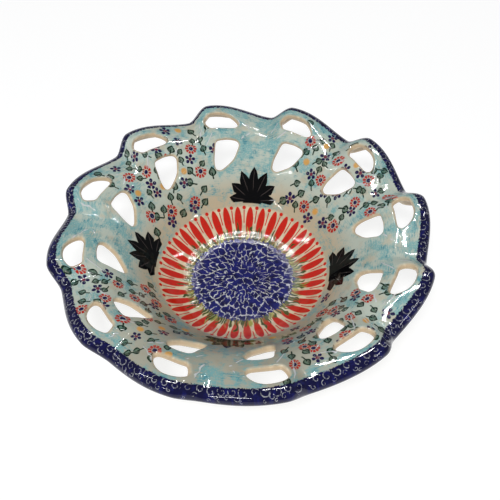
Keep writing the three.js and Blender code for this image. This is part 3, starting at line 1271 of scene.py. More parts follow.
@dataclass(frozen=True)
class StampedSprays:
    """Daisies, small blue flowers, leaves and ochre dots in four sprays, in millimetres and degrees.

    The fields daisies, blues and leaves are the shares up to which a stamp is of that kind.
    """

    surface: BowlSurface
    daisy: DaisyStamp = DaisyStamp()
    blue_flower: BlueFlowerStamp = BlueFlowerStamp()
    leaf: LeafStamp = LeafStamp()
    spacing: float = 10.6
    stray: float = 0.62
    drift: Point = (57.0, 23.0, 0.0)
    daisies: float = 0.16
    blues: float = 0.33
    leaves: float = 0.92
    kind_soft: float = 0.001
    column_step: float = 0.618
    row_step: float = 0.755
    least_size: float = 1.04
    size_swing: float = 0.25
    leaf_sway: float = 2.2
    dot_span: Span = (3.3, 1.7)
    dot_share: float = 0.85
    wear: Patches = Patches(Grain(1.6), 0.2, 0.45)
    half_angle: float = 19.0
    ragged_angle: float = 11.0
    above_band: float = 5.0
    below_lip: float = 3.5

    def build(self) -> None:
        """Draws the group."""
        effect = Effect("stamped_sprays", {}, {"Color": "Color", "Mask": "Float"})
        place = effect.place
        cell = ((place + self.drift) * (1.0 / self.spacing)).cells(self.stray)
        position = Place(cell.outputs["Position"])
        centre = position * self.spacing - self.drift
        column, row, _ = position.vector("FLOOR").split()
        kind = (column * self.column_step + row * self.row_step).math("FRACT")
        _, turn, size = Place(cell.outputs["Color"]).split()
        x, y, _ = (place - centre).split()
        slant, angle = centre.centred()
        scale = size * self.size_swing + self.least_size
        radius, bearing = polar(x / scale, y / scale)
        turned = bearing + turn * FULL_TURN
        daisy, daisy_colour = self.daisy.draw(radius, turned)
        blue, blue_colour = self.blue_flower.draw(radius, turned)
        upright = bearing - angle - (turn - 0.5) * self.leaf_sway
        leaf, leaf_colour = self.leaf.draw(radius, upright)
        dot = radius.smooth(*self.dot_span) * self.dot_share
        is_dot = kind.smooth(self.leaves, self.leaves + self.kind_soft)
        is_blue = kind.below(self.blues)
        is_daisy = kind.below(self.daisies)
        mask = leaf + (dot - leaf) * is_dot
        mask = mask + (blue - mask) * is_blue
        mask = mask + (daisy - mask) * is_daisy
        colour = is_dot.mix(leaf_colour, GLAZE.ochre)
        colour = is_blue.mix(colour, blue_colour)
        fill(effect.outputs["Color"], is_daisy.mix(colour, daisy_colour))
        within = self._spray_zone(slant, angle, size)
        fill(effect.outputs["Mask"], mask * within * place.patches(self.wear))

    def _spray_zone(self, slant: Value, angle: Value, chance: Value) -> Value:
        """Mask of the stamps that fall in one of the four sprays.

        Args:
            slant: Slant of the stamp's middle.
            angle: Angle of the stamp's middle.
            chance: Chance that makes the edge of a spray uneven.

        Returns:
            1 within a spray and 0 outside.
        """
        away, _ = angle.sector(Quarters.count, math.radians(Quarters.sprays))
        reach = chance * math.radians(self.ragged_angle) + math.radians(self.half_angle)
        above = slant.math("GREATER_THAN", self.surface.band_edge + self.above_band)
        return abs(away).below(reach) * above * slant.below(self.surface.lip_edge - self.below_lip)


@dataclass(frozen=True)
class LeafFan:
    """Four dark fans of brushed leaves that rise from the band, in millimetres and degrees."""

    surface: BowlSurface
    lift: float = 2.0
    spread: float = 26.0
    length: float = 29.0
    shorten: float = 0.9
    half_width: float = 4.7
    belly: float = 1.25
    last_leaf: float = 3.5
    wander: Grain = Grain(5.0, 2.0, 0.5)
    wander_reach: float = 1.5
    edge_span: Span = (-0.15, 0.3)
    heart_span: Span = (8.6, 7.8)
    heart_foot: Span = (-1.5, -0.8)
    vein_span: Span = (0.5, 0.12)
    vein_start: Span = (0.3, 0.45)
    vein_end: Span = (0.95, 0.8)
    vein_share: float = 0.75

    def build(self) -> None:
        """Draws the group."""
        effect = Effect("leaf_fan", {}, {"Color": "Color", "Mask": "Float"})
        slant, angle = effect.place.centred()
        away, _ = angle.sector(Quarters.count, math.radians(Quarters.fans))
        x = away * slant + effect.place.swing(self.wander, self.wander_reach)
        y = slant - (self.surface.band_edge + self.lift)
        radius, bearing = polar(y, x)
        tilt, number = bearing.sector(FULL_TURN / math.radians(self.spread))
        side = abs(radius * tilt.sine())
        length = self.length - number * number * self.shorten
        share = (radius * tilt.cosine() / length).capped()
        inset = (share**self.belly * math.pi).sine() * self.half_width - side
        leaves = inset.smooth(*self.edge_span) * abs(number).below(self.last_leaf)
        heart = radius.smooth(*self.heart_span) * y.smooth(*self.heart_foot)
        vein = side.smooth(*self.vein_span) * share.window(self.vein_start, self.vein_end)
        fill(effect.outputs["Mask"], leaves | heart)
        fill(effect.outputs["Color"], (vein * self.vein_share).mix(GLAZE.ink, GLAZE.bronze))


@dataclass(frozen=True)
class LobeFolds:
    """Soft ridges between the lobes, which catch the light as fine lines; the wall also paints them as pale
    painted highlight lines.

    The lines are those of one lobe, in millimetres clockwise from its axis and up from the crest.
    """

    surface: BowlSurface
    half_width: float = 1.15
    fade: float = 5.0
    lines: tuple[tuple[Span, Span], ...] = (
        ((12.0, -14.0), (31.0, -23.0)),
        ((29.0, -26.0), (14.0, -37.0)),
        ((16.0, -35.0), (3.0, -52.0)),
        ((-6.0, -25.0), (-19.0, -39.0)),
        ((-19.0, -7.0), (-22.0, -28.0)),
    )
    waver: Grain = Grain(7.0, 1.0, 0.5)
    waver_reach: float = 9.0
    breaks: Patches = Patches(Grain(9.0, 1.0, 0.5), 0.36, 0.5)
    break_shift: Point = (13.0, 71.0, 0.0)

    def build(self) -> None:
        """Draws the group."""
        effect = Effect("lobe_folds", {}, {"Height": "Float"})
        place = effect.place
        slant, angle = place.centred()
        away, _ = angle.sector(float(self.surface.sizes.lobes))
        waver = place.swing(self.waver, self.waver_reach)
        x = waver - away * slant
        y = waver + slant - self.surface.crest
        ridge = self._ridge(x, y, *self.lines[0])
        for start, end in self.lines[1:]:
            ridge = ridge | self._ridge(x, y, start, end)
        fill(effect.outputs["Height"], ridge * (place + self.break_shift).patches(self.breaks))

    def _ridge(self, x: Value, y: Value, start: Span, end: Span) -> Value:
        """Height of one ridge along a straight line.

        Args:
            x: Way clockwise from the openings' axis.
            y: Way up from the crest.
            start: Upper end of the line.
            end: Lower end of the line.

        Returns:
            1 on the line, falling to 0 beside it and at its ends.
        """
        length = math.dist(start, end)
        way_x = (end[0] - start[0]) / length
        way_y = (end[1] - start[1]) / length
        from_x = x - start[0]
        from_y = y - start[1]
        along = from_x * way_x + from_y * way_y
        bead = abs(from_x * way_y - from_y * way_x).smooth(self.half_width, 0.0)
        return bead * along.window((0.0, self.fade), (length, length - self.fade))


@dataclass(frozen=True)
class Finish:
    """A finish with its name, its gloss and the relief of its paint."""

    name: str
    gloss: float = 0.32
    coat: float = 0.1
    coat_roughness: float = 0.03
    ripple: float = 0.55
    relief_height: float = 0.12
    lumps: Grain = Grain(1.3)
    lump_height: float = 9.0
    brush: Grain = Grain(1.5)
    brushed: float = 0.0

    def build(self) -> Material:
        """Makes the material.

        Returns:
            The finished material.
        """
        material = bpy.data.materials.new(self.name)
        material.use_nodes = True
        self.paint(material.node_tree.nodes["Principled BSDF"])
        return material

    def paint(self, shader: Node) -> None:
        """Paints a shader."""
        raise NotImplementedError

    @staticmethod
    def place(shader: Node, layer: str = UNROLLED) -> Place:
        """Adds the place of a UV map.

        Args:
            shader: Shader to paint.
            layer: Name of the map.

        Returns:
            The place.
        """
        node = shader.id_data.nodes.new("ShaderNodeUVMap")
        node.uv_map = layer
        return Place(node.outputs[0])

    @staticmethod
    def solid_place(shader: Node) -> Place:
        """Adds the place in the clay, in millimetres."""
        node = shader.id_data.nodes.new("ShaderNodeTexCoord")
        return Place(node.outputs["Object"]) * (1.0 / METRES)

    @staticmethod
    def cut(shader: Node) -> Value:
        """Adds the share of a cut edge.

        Args:
            shader: Shader to paint.

        Returns:
            The share.
        """
        node = shader.id_data.nodes.new("ShaderNodeAttribute")
        node.attribute_name = CUT_SHARE
        return Value(node.outputs["Fac"])

    def daubs(self, place: Place, where: Value) -> Value:
        """Height of uneven thick paint within a mask."""
        return place.noise(self.lumps) * where * self.lump_height

    def bump(self, shader: Node, height: Value, distance: float) -> None:
        """Gives a shader a relief.

        Args:
            shader: Shader to dress.
            height: Height as a share.
            distance: Height of a whole share, in metres.
        """
        bump = shader.id_data.nodes.new("ShaderNodeBump")
        bump.inputs["Strength"].default_value = self.ripple
        bump.inputs["Distance"].default_value = distance
        fill(bump.inputs["Height"], height)
        fill(shader.inputs["Normal"], Value(bump.outputs[0]))

    def skin(self, shader: Node, relief: Value | None = None) -> None:
        """Gives a shader the ripples and the gloss of the clear glaze.

        Args:
            shader: Shader to dress.
            relief: Mask of brush strokes that stand proud, or None.
        """
        skin = Effect.put("glaze_skin", self.solid_place(shader))
        height = skin["Height"]
        if relief is not None:
            height = height + relief * self.relief_height
        if self.brushed > 0.0:
            height = height + self.place(shader).noise(self.brush) * self.brushed
        self.bump(shader, height, METRES)
        fill(shader.inputs["Roughness"], skin["Roughness"])
        shader.inputs["Specular IOR Level"].default_value = self.gloss
        shader.inputs["Coat Weight"].default_value = self.coat
        shader.inputs["Coat Roughness"].default_value = self.coat_roughness


@dataclass(frozen=True)
class CobaltMedallion(Finish):
    """Cobalt disc netted with milk-white squiggles, in millimetres."""

    gloss: float = 0.34
    brushed: float = 0.05
    edge: float = 39.0
    edge_span: Span = (-0.3, 0.3)
    rim_span: Span = (-4.5, -0.5)
    pools: Patches = Patches(Grain(7.0, 3.0), 0.35, 0.7)
    net_share: float = 0.88
    flecks: Patches = Patches(Grain(1.9), 0.42, 0.56)

    def paint(self, shader: Node) -> None:
        """Paints the disc.

        Args:
            shader: Shader to paint.
        """
        place = self.place(shader)
        slant, _ = place.centred()
        net = Effect.put("squiggle_net", place)["Mask"]
        blue = place.patches(self.pools).mix(GLAZE.cobalt, GLAZE.deep_cobalt)
        colour = (net * self.net_share).mix(blue, GLAZE.milk)
        torn = slant + Effect.put("ragged_edge", place)["Shift"]
        border = torn.smooth(*beyond(self.edge, self.edge_span))
        edge = place.patches(self.flecks).mix(GLAZE.moss, GLAZE.cream)
        fill(shader.inputs["Base Color"], border.mix(colour, edge))
        rim = slant.smooth(*beyond(self.edge, self.rim_span))
        self.skin(shader, net + self.daubs(place, rim))


@dataclass(frozen=True)
class PetalRays:
    """Broad petals with a fine stamen and dot between each two, in millimetres."""

    count: int = 38
    key: float = 3.0
    start_gap: float = 0.5
    end_gap: float = 1.2
    side_swing: float = 0.8
    tip_swing: float = 1.6
    half_width: float = 3.05
    belly: float = 1.35
    fullness: float = 0.5
    blunt_span: Span = (0.5, 0.3)
    blunt_share: float = 0.55
    edge_span: Span = (0.25, -0.25)
    stamen_half_width: float = 0.45
    stamen_soft: float = 0.2
    stamen_place: float = 9.0
    stamen_half_length: float = 5.5
    stamen_end_soft: float = 0.8
    dot_place: float = 1.6
    dot_span: Span = (1.75, 1.35)

    def draw(self, slant: Value, angle: Value, start: float, end: float) -> Value:
        """Draws the petals, stamens and dots.

        Args:
            slant: Way up from the centre.
            angle: Angle about the upright axis.
            start: Slant where the band starts.
            end: Slant where the band ends.

        Returns:
            The mask of the strokes.
        """
        first = start + self.start_gap
        last = end - self.end_gap
        count = float(self.count)
        away, number = angle.sector(count)
        chance, other, _ = number.chance(count, self.key)
        side = away.sine() * slant + (chance - 0.5) * self.side_swing
        tip = last - other * self.tip_swing
        share = ((slant - first) / (tip - first)).capped()
        swell = (share**self.belly * math.pi).sine() ** self.fullness
        width = (swell | share.smooth(*self.blunt_span) * self.blunt_share) * self.half_width
        petal = (abs(side) - width).smooth(*self.edge_span)
        between, _ = angle.sector(count, math.pi / count)
        gap = between.sine() * slant
        stamen = gap.near(0.0, self.stamen_half_width, self.stamen_soft)
        middle = last - self.stamen_place
        stamen = stamen * slant.near(middle, self.stamen_half_length, self.stamen_end_soft)
        from_dot, _ = polar(gap, slant - (last - self.dot_place))
        return petal | stamen | from_dot.smooth(*self.dot_span)


@dataclass(frozen=True)
class FringeRow:
    """One row of strokes: its number in a turn, its reach in millimetres and the key of its chances."""

    strokes: float
    reach: float
    key: float


@dataclass(frozen=True)
class GrassFringe:
    """Two rows of short green strokes that fan out round the medallion, in millimetres."""

    short: FringeRow = FringeRow(150.0, 12.0, 1.0)
    long: FringeRow = FringeRow(104.0, 17.0, 2.0)
    sway: Grain = Grain(8.0, 1.0, 0.5)
    sway_angle: float = 0.16
    least_reach: float = 0.25
    point: float = 4.0
    half_width: float = 0.85
    slimming: float = 0.12
    edge_span: Span = (0.2, -0.2)
    skip_span: Span = (0.18, 0.22)
    dark_span: Span = (0.1, 0.45)
    patches: Patches = Patches(Grain(4.5), 0.35, 0.65)
    wash_reach: float = 9.0
    wash_share: float = 0.75

    def draw(self, place: Place, start: float) -> tuple[Value, Value]:
        """Draws the strokes over a patchy wash.

        Args:
            place: Place on the painting plane.
            start: Slant that the strokes start from.

        Returns:
            The mask of the strokes and their share of dark green.
        """
        slant, angle = place.centred()
        swayed = angle + place.swing(self.sway, self.sway_angle)
        short, dark_short = self._row(slant, swayed, start, self.short)
        long, dark_long = self._row(slant, swayed, start, self.long)
        wash = slant.smooth(start + self.wash_reach, start) * place.patches(self.patches) * self.wash_share
        return wash | short | long, dark_short | dark_long

    def _row(self, slant: Value, angle: Value, start: float, row: FringeRow) -> tuple[Value, Value]:
        """Draws one row of strokes.

        Args:
            slant: Way up from the centre.
            angle: Swayed angle about the upright axis.
            start: Slant that the strokes start from.
            row: Sizes of the row.

        Returns:
            The mask of the row and its dark strokes.
        """
        away, number = angle.sector(row.strokes)
        chance, shade, skip = number.chance(row.strokes, row.key)
        least = row.reach * self.least_reach
        end = chance * (row.reach - least) + (start + least)
        width = slant.smooth(end, end - self.point) * self.half_width - self.slimming
        stroke = (abs(away.sine() * slant) - width).smooth(*self.edge_span)
        mask = stroke * skip.smooth(*self.skip_span)
        return mask, mask * shade.smooth(*self.dark_span)


@dataclass(frozen=True)
class RayedBand(Finish):
    """Cream band with red petal rays and a fringe of green brush strokes, in millimetres."""

    gloss: float = 0.42
    brushed: float = 0.06
    petals: PetalRays = PetalRays()
    fringe: GrassFringe = GrassFringe()
    start: float = 39.4
    end: float = 67.0
    blue_reach: float = 0.6
    blue_span: Span = (0.3, -0.3)
    tint: Patches = Patches(Grain(9.0, 3.0), 0.35, 0.75)
    thinning: Patches = Patches(Grain(3.0, 3.0, 0.65), 0.5, 0.8)
    thin_share: float = 0.5
    inner_span: Span = (11.0, 2.0)
    inner_share: float = 0.75
    tears: Grain = Grain(2.2)
    tear_reach: float = 4.0
    fade_span: Span = (-3.6, -0.6)
    thick_span: Span = (9.0, 3.0)

    def paint(self, shader: Node) -> None:
        """Paints the band.

        Args:
            shader: Shader to paint.
        """
        place = self.place(shader)
        slant, angle = place.centred()
        colour = place.patches(self.tint).mix(GLAZE.cream, GLAZE.warm)
        inner = slant.smooth(*beyond(self.start, self.inner_span)) * self.inner_share
        browned = place.patches(self.thinning) * self.thin_share | inner
        petals = self.petals.draw(slant, angle, self.start, self.end)
        colour = petals.mix(colour, browned.mix(GLAZE.red, GLAZE.brick))
        fringe, shade = self.fringe.draw(place, self.start)
        colour = fringe.mix(colour, shade.mix(GLAZE.lime, GLAZE.moss))
        ragged = slant + Effect.put("ragged_edge", place)["Shift"]
        blue = ragged.smooth(*beyond(self.start + self.blue_reach, self.blue_span))
        colour = blue.mix(colour, GLAZE.cobalt)
        wall = Effect.put("sponge_clouds", place, Aqua=0.0)["Color"]
        torn = slant + place.swing(self.tears, self.tear_reach)
        faded = torn.smooth(*beyond(self.end, self.fade_span)) * (1.0 - petals)
        fill(shader.inputs["Base Color"], faded.mix(colour, wall))
        thick = slant.smooth(*beyond(self.start, self.thick_span))
        self.skin(shader, fringe + self.daubs(place, thick))


@dataclass(frozen=True)
class SpongedWall(Finish):
    """Pale wall with aqua clouds, stamped sprays, dark leaf fans, painted highlight lines along the lobe
    folds and the spill of the cobalt lip.
    """

    gloss: float = 0.16
    coat: float = 0.0
    lip_edge: float = 150.0
    # Painted highlight lines along the folds: span of the ridge mask and share of milk; fold_height is the
    # real relief.
    fold_highlight_span: Span = (0.3, 0.8)
    fold_highlight_share: float = 0.95
    fold_height: float = 4.0

    def paint(self, shader: Node) -> None:
        """Paints the wall.

        Args:
            shader: Shader to paint.
        """
        place = self.place(shader)
        colour = Effect.put("sponge_clouds", place, Aqua=0.0)["Color"]
        for name in ("stamped_sprays", "leaf_fan"):
            painted = Effect.put(name, place)
            colour = painted["Mask"].mix(colour, painted["Color"])
        fold_relief_and_highlight = Effect.put("lobe_folds", place)["Height"]
        # Painted highlight: pale milk lines along the lobe folds.
        colour = (fold_relief_and_highlight.smooth(*self.fold_highlight_span) * self.fold_highlight_share).mix(colour, GLAZE.milk)
        slant, angle = place.centred()
        along = angle * (RimCurls.count / FULL_TURN)
        lip = Effect.put("cobalt_lip", place, Along=along, Across=slant - self.lip_edge)
        colour = lip["Mask"].mix(colour, lip["Color"])
        edged = Effect.put("edge_break", place, Color=colour, Cut=self.cut(shader))
        fill(shader.inputs["Base Color"], edged["Color"])
        self.skin(shader, fold_relief_and_highlight * self.fold_height)


@dataclass(frozen=True)
class ScrolledLip(Finish):
    """Cobalt lip with rows of white curls on its inner half and thin glaze below, in millimetres."""

    bare_span: Span = (13.0, 14.0)

    def paint(self, shader: Node) -> None:
        """Paints the lip.

        Args:
            shader: Shader to paint.
        """
        place = self.place(shader)
        along, across, _ = self.place(shader, RIM_PLACE).split()
        wall = Effect.put("sponge_clouds", place, Aqua=0.0)["Color"]
        wall = across.smooth(*self.bare_span).mix(wall, GLAZE.biscuit)
        lip = Effect.put("cobalt_lip", place, Along=along, Across=across)
        fill(shader.inputs["Base Color"], lip["Mask"].mix(wall, lip["Color"]))
        self.skin(shader)


@dataclass(frozen=True)
class OutsideGlaze(Finish):
    """Pale sponged glaze of the outside, thin below the lip, with a cobalt line above the foot."""

    band_edge: float = 61.0
    lip_edge: float = 149.0
    less_aqua: float = -0.06
    line_rise: float = 9.0
    line_half_width: float = 1.5
    line_soft: float = 0.3
    line_share: float = 0.9
    waver: Grain = Grain(6.0, 2.0, 0.5)
    waver_reach: float = 1.6
    thin_span: Span = (-9.0, -6.0)

    def paint(self, shader: Node) -> None:
        """Paints the outside.

        Args:
            shader: Shader to paint.
        """
        place = self.place(shader)
        slant, _ = place.centred()
        colour = Effect.put("sponge_clouds", place, Aqua=self.less_aqua)["Color"]
        colour = slant.smooth(*beyond(self.lip_edge, self.thin_span)).mix(colour, GLAZE.biscuit)
        wavered = slant + place.swing(self.waver, self.waver_reach)
        stripe = wavered.near(self.band_edge + self.line_rise, self.line_half_width, self.line_soft)
        colour = (stripe * self.line_share).mix(colour, GLAZE.cobalt)
        edged = Effect.put("edge_break", place, Color=colour, Cut=self.cut(shader))
        fill(shader.inputs["Base Color"], edged["Color"])
        self.skin(shader)


@dataclass(frozen=True)
class BareClay(Finish):
    """Unglazed stoneware of the foot, with turning marks and iron specks, in millimetres."""

    tone: Patches = Patches(Grain(11.0, 3.0), 0.35, 0.7)
    specks: Patches = Patches(Grain(1.1, 1.0, 0.5), 0.68, 0.76)
    speck_share: float = 0.6
    grit: Grain = Grain(0.8, 3.0, 0.7)
    grit_roughness: float = 0.2
    roughness: float = 0.68
    marks: Grain = Grain(1.6, 2.0, 0.5)
    marks_squeeze: float = 3.0
    depth: float = 0.3

    def paint(self, shader: Node) -> None:
        """Paints the bare foot.

        Args:
            shader: Shader to paint.
        """
        place = self.solid_place(shader)
        radius, _ = place.centred()
        grit = place.noise(self.grit)
        tone = place.patches(self.tone).mix(GLAZE.biscuit, GLAZE.warm)
        specks = place.patches(self.specks) * self.speck_share
        fill(shader.inputs["Base Color"], specks.mix(tone, GLAZE.toast))
        fill(shader.inputs["Roughness"], grit * self.grit_roughness + self.roughness)
        marks = (radius * self.marks_squeeze).join(0.0).noise(self.marks)
        self.bump(shader, marks + grit, METRES * self.depth)


@dataclass
class GlazedPiece:
    """A closed piece of the glazed body that follows the bowl's surface."""

    surface: BowlSurface
    name: str
    stands_for: tuple[str, ...]
    slot: Slot
    inner_columns: int = 240
    rim_columns: int = 432

    def shape(self) -> Clay:
        """Builds the points and faces."""
        raise NotImplementedError

    def make(self, inside: Material, outside: Material) -> Object:
        """Builds the piece, dresses it and puts it on its body.

        Args:
            inside: Material of the inside face.
            outside: Material of the outside face.

        Returns:
            The finished piece.
        """
        piece = self.shape().fire(self.name, float(RimCurls.count))
        piece.data.materials.append(inside)
        piece.data.materials.append(outside)
        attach(piece, "root")
        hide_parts(*self.stands_for)
        return piece


@dataclass
class WellMedallion(GlazedPiece):
    """The flat middle of the floor."""

    rings: int = 14

    def shape(self) -> Clay:
        """Builds a closed disc from rings on both faces.

        Returns:
            The clay of the piece.
        """
        clay = Clay()
        ring = Ring(self.surface, clay)
        slants = np.linspace(0.0, self.surface.medallion_edge, self.rings + 1)[1:]
        edges = []
        for face, lay in ((Face.INSIDE, ring.top), (Face.OUTSIDE, ring.below)):
            centre = int(lay(0.0, 1)[0])
            inner = lay(float(slants[0]), self.inner_columns)
            for a, b in zip(inner, np.roll(inner, -1)):
                corners = (centre, int(a), int(b))
                clay.face(corners if face is Face.INSIDE else corners[::-1], face)
            for slant in slants[1:]:
                outer = lay(float(slant), self.inner_columns)
                clay.strip(*((inner, outer) if face is Face.OUTSIDE else (outer, inner)), face)
                inner = outer
            edges.append(inner)
        clay.strip(edges[1], edges[0], Face.OUTSIDE)
        return clay


@dataclass
class CoveBand(GlazedPiece):
    """The coved ring between the floor and the openwork wall."""

    rings: int = 16

    def shape(self) -> Clay:
        """Builds a closed ring from both faces and its two seams.

        Returns:
            The clay of the piece.
        """
        clay = Clay()
        ring = Ring(self.surface, clay)
        slants = np.linspace(self.surface.medallion_edge, self.surface.band_edge, self.rings + 1)
        top = [ring.top(float(slant), self.inner_columns) for slant in slants]
        under = [ring.below(float(slant), self.inner_columns) for slant in slants]
        for inner, outer in zip(top, top[1:]):
            clay.strip(outer, inner, Face.INSIDE)
        for inner, outer in zip(under, under[1:]):
            clay.strip(inner, outer, Face.OUTSIDE)
        clay.strip(top[0], under[0], Face.OUTSIDE)
        clay.strip(under[-1], top[-1], Face.OUTSIDE)
        return clay


@dataclass
class OpenworkWall(GlazedPiece):
    """The waved wall with its twelve pairs of openings."""

    grid: float = 2.3
    outline_points: int = 72
    round_steps: int = 4
    opening_reach: float = 26.0
    clearance: float = 0.62
    border_slack: float = 0.9995
    weld: float = 1e-5
    cut_fade: float = 0.9
    cutouts: tuple[CutOut, ...] = (MOON, DROP)

    def shape(self) -> Clay:
        """Builds both faces round the openings, the rounded cut edges and the two seams.

        Returns:
            The clay of the piece.
        """
        clay = Clay()
        slants, angles, loops, borders, triangles = self._pattern()
        inside = self.surface.inside(slants, angles)
        normals = self.surface.normal(slants, angles)
        place = unroll(slants, angles)
        top = clay.add(inside, normals, place)
        under = clay.add(self.surface.under(slants, angles), -normals, place)
        for a, b, c in triangles:
            clay.face((int(top[a]), int(top[b]), int(top[c])), Face.INSIDE)
            clay.face((int(under[c]), int(under[b]), int(under[a])), Face.OUTSIDE)
        for cutout, lobe, loop in loops:
            self._cut_edge(clay, cutout, lobe, top[loop], under[loop])
        inner, outer = borders
        clay.strip(top[inner], under[inner], Face.OUTSIDE)
        clay.strip(under[outer], top[outer], Face.OUTSIDE)
        return clay

    def _loop(self, cutout: CutOut, lobe: int, margin: float) -> tuple[Array, Array]:
        """Slants and angles of an opening's outline, widened by a margin.

        Args:
            cutout: Opening to follow.
            lobe: Number of the lobe, clockwise.
            margin: Widening in millimetres.

        Returns:
            The slants and the angles.
        """
        points = CutOut.widened(cutout.outline(self.outline_points), margin)
        slants = self.surface.crest - cutout.foot + points[:, 1]
        angles = -points[:, 0] / self.surface.plain_radius(slants)
        return slants, angles - lobe * self.surface.sizes.pitch

    def _pattern(self) -> tuple[Array, Array, list, tuple[Array, Array], Array]:
        """Spreads points over the unrolled wall and joins them to triangles.

        Returns:
            Slants, angles, openings with their points, both border rings and the triangles.
        """
        slants = []
        angles = []
        loops = []
        edges = []
        count = 0
        borders = []
        ends = ((self.surface.band_edge, self.inner_columns), (self.surface.lip_edge, self.rim_columns))
        for slant, columns in ends:
            numbers = np.arange(count, count + columns)
            slants.append(np.full(columns, slant))
            angles.append(np.arange(columns) * FULL_TURN / columns)
            edges += list(zip(numbers.tolist(), np.roll(numbers, -1).tolist()))
            borders.append(numbers)
            count += columns
        walls = []
        round_margin = self.surface.sizes.edge_round
        for lobe in range(self.surface.sizes.lobes):
            for cutout in self.cutouts:
                slant, angle = self._loop(cutout, lobe, round_margin)
                numbers = np.arange(count, count + self.outline_points)
                edges += list(zip(numbers.tolist(), np.roll(numbers, -1).tolist()))
                loops.append((cutout, lobe, numbers))
                slants.append(slant)
                angles.append(angle)
                count += self.outline_points
                walls.append(unroll(slant, angle))
        loose_slants, loose_angles = self._loose_points(walls)
        slants.append(loose_slants)
        angles.append(loose_angles)
        all_slants = np.concatenate(slants)
        all_angles = np.concatenate(angles)
        flat = unroll(all_slants, all_angles)
        triangles = self._triangles(flat, edges, walls)
        return all_slants, all_angles, loops, (borders[0], borders[1]), triangles

    def _loose_points(self, walls: list[Array]) -> tuple[Array, Array]:
        """Fills the wall between the openings with staggered rings of points.

        Args:
            walls: Unrolled outlines of the openings.

        Returns:
            The slants and angles of the points.
        """
        slants = []
        angles = []
        start, end = self.surface.band_edge, self.surface.lip_edge
        rows = int(round((end - start) / self.grid))
        for row in range(1, rows):
            slant = start + (end - start) * row / rows
            columns = int(round(FULL_TURN * slant / self.grid))
            slants.append(np.full(columns, slant))
            angles.append((np.arange(columns) + 0.5 * (row % 2)) * FULL_TURN / columns)
        slant = np.concatenate(slants)
        angle = np.concatenate(angles)
        points = unroll(slant, angle)
        free = np.ones(len(points), dtype=bool)
        for wall in walls:
            close = self._close(points, wall)
            gaps = np.linalg.norm(points[close, None] - wall[None], axis=2).min(axis=1)
            free[close[gaps < self.grid * self.clearance]] = False
            free[close[self._inside(points[close], wall)]] = False
        return slant[free], angle[free]

    def _close(self, points: Array, wall: Array) -> Array:
        """Numbers of the points near enough to an opening to lie within it."""
        return np.flatnonzero(np.linalg.norm(points - wall.mean(axis=0), axis=1) < self.opening_reach)

    @staticmethod
    def _inside(points: Array, wall: Array) -> Array:
        """Tells which points lie within an outline.

        Args:
            points: Flat points.
            wall: Closed outline.

        Returns:
            True for each point within.
        """
        after = np.roll(wall, -1, axis=0)
        x, y = points[:, 0, None], points[:, 1, None]
        spans = (wall[:, 1] > y) != (after[:, 1] > y)
        rise = np.where(after[:, 1] == wall[:, 1], 1.0, after[:, 1] - wall[:, 1])
        crossing = (after[:, 0] - wall[:, 0]) * (y - wall[:, 1]) / rise + wall[:, 0]
        return np.count_nonzero(spans & (x < crossing), axis=1) % 2 == 1

    def _triangles(
        self, flat: Array, edges: list[tuple[int, int]], walls: list[Array]
    ) -> Array:
        """Joins flat points to triangles that leave the openings free.

        Args:
            flat: Points on the painting plane.
            edges: Edges that have to stay.
            walls: Outlines of the openings.

        Returns:
            Three point numbers in each row.
        """
        made = delaunay_2d_cdt([Vector(point) for point in flat.tolist()], edges, [], 0, self.weld)
        origin = [numbers[0] for numbers in made[3]]
        found = np.array([[origin[corner] for corner in face] for face in made[2]])
        middle = flat[found].mean(axis=1)
        reach = np.linalg.norm(middle, axis=1)
        keep = (reach > self.surface.band_edge * self.border_slack) & (reach < self.surface.lip_edge)
        for wall in walls:
            close = self._close(middle, wall)
            keep[close[self._inside(middle[close], wall)]] = False
        return found[keep]

    def _cut_edge(self, clay: Clay, cutout: CutOut, lobe: int, top: Array, under: Array) -> None:
        """Rounds the cut of one opening from the inside face to the outside.

        Args:
            clay: Piece under way.
            cutout: Opening that is cut.
            lobe: Number of its lobe.
            top: Points of the opening on the inside face.
            under: Points of the opening on the outside face.
        """
        rings = [top]
        radius = self.surface.sizes.edge_round
        turns = [step / self.round_steps * math.pi / 2.0 for step in range(self.round_steps)]
        for turn in reversed(turns):
            rings.append(self._cut_ring(clay, cutout, lobe, turn, radius * (1.0 - math.sin(turn)), False))
        for turn in turns:
            rings.append(self._cut_ring(clay, cutout, lobe, turn, radius * (1.0 - math.sin(turn)), True))
        rings.append(under)
        for index, (first, second) in enumerate(zip(rings, rings[1:])):
            clay.strip(first, second, Face.INSIDE if index <= self.round_steps else Face.OUTSIDE)

    def _cut_ring(
        self, clay: Clay, cutout: CutOut, lobe: int, turn: float, depth: float, from_under: bool
    ) -> Array:
        """Adds one ring of a rounded cut.

        Args:
            clay: Piece under way.
            cutout: Opening that is cut.
            lobe: Number of its lobe.
            turn: Angle round the rounded edge, 0 on the cut.
            depth: Depth below the nearer face.
            from_under: True where the nearer face is the outside one.

        Returns:
            The points of the ring.
        """
        margin = self.surface.sizes.edge_round * (1.0 - math.cos(turn))
        slants, angles = self._loop(cutout, lobe, margin)
        deep = np.full(len(slants), depth)
        if from_under:
            deep = self.surface.thickness(slants) - depth
        points = self.surface.inside(slants, angles) - deep[:, None] * self.surface.normal(slants, angles)
        cut = 1.0 - turn / (math.pi / 2.0) * self.cut_fade
        return clay.add(points, None, unroll(slants, angles), cut=cut)


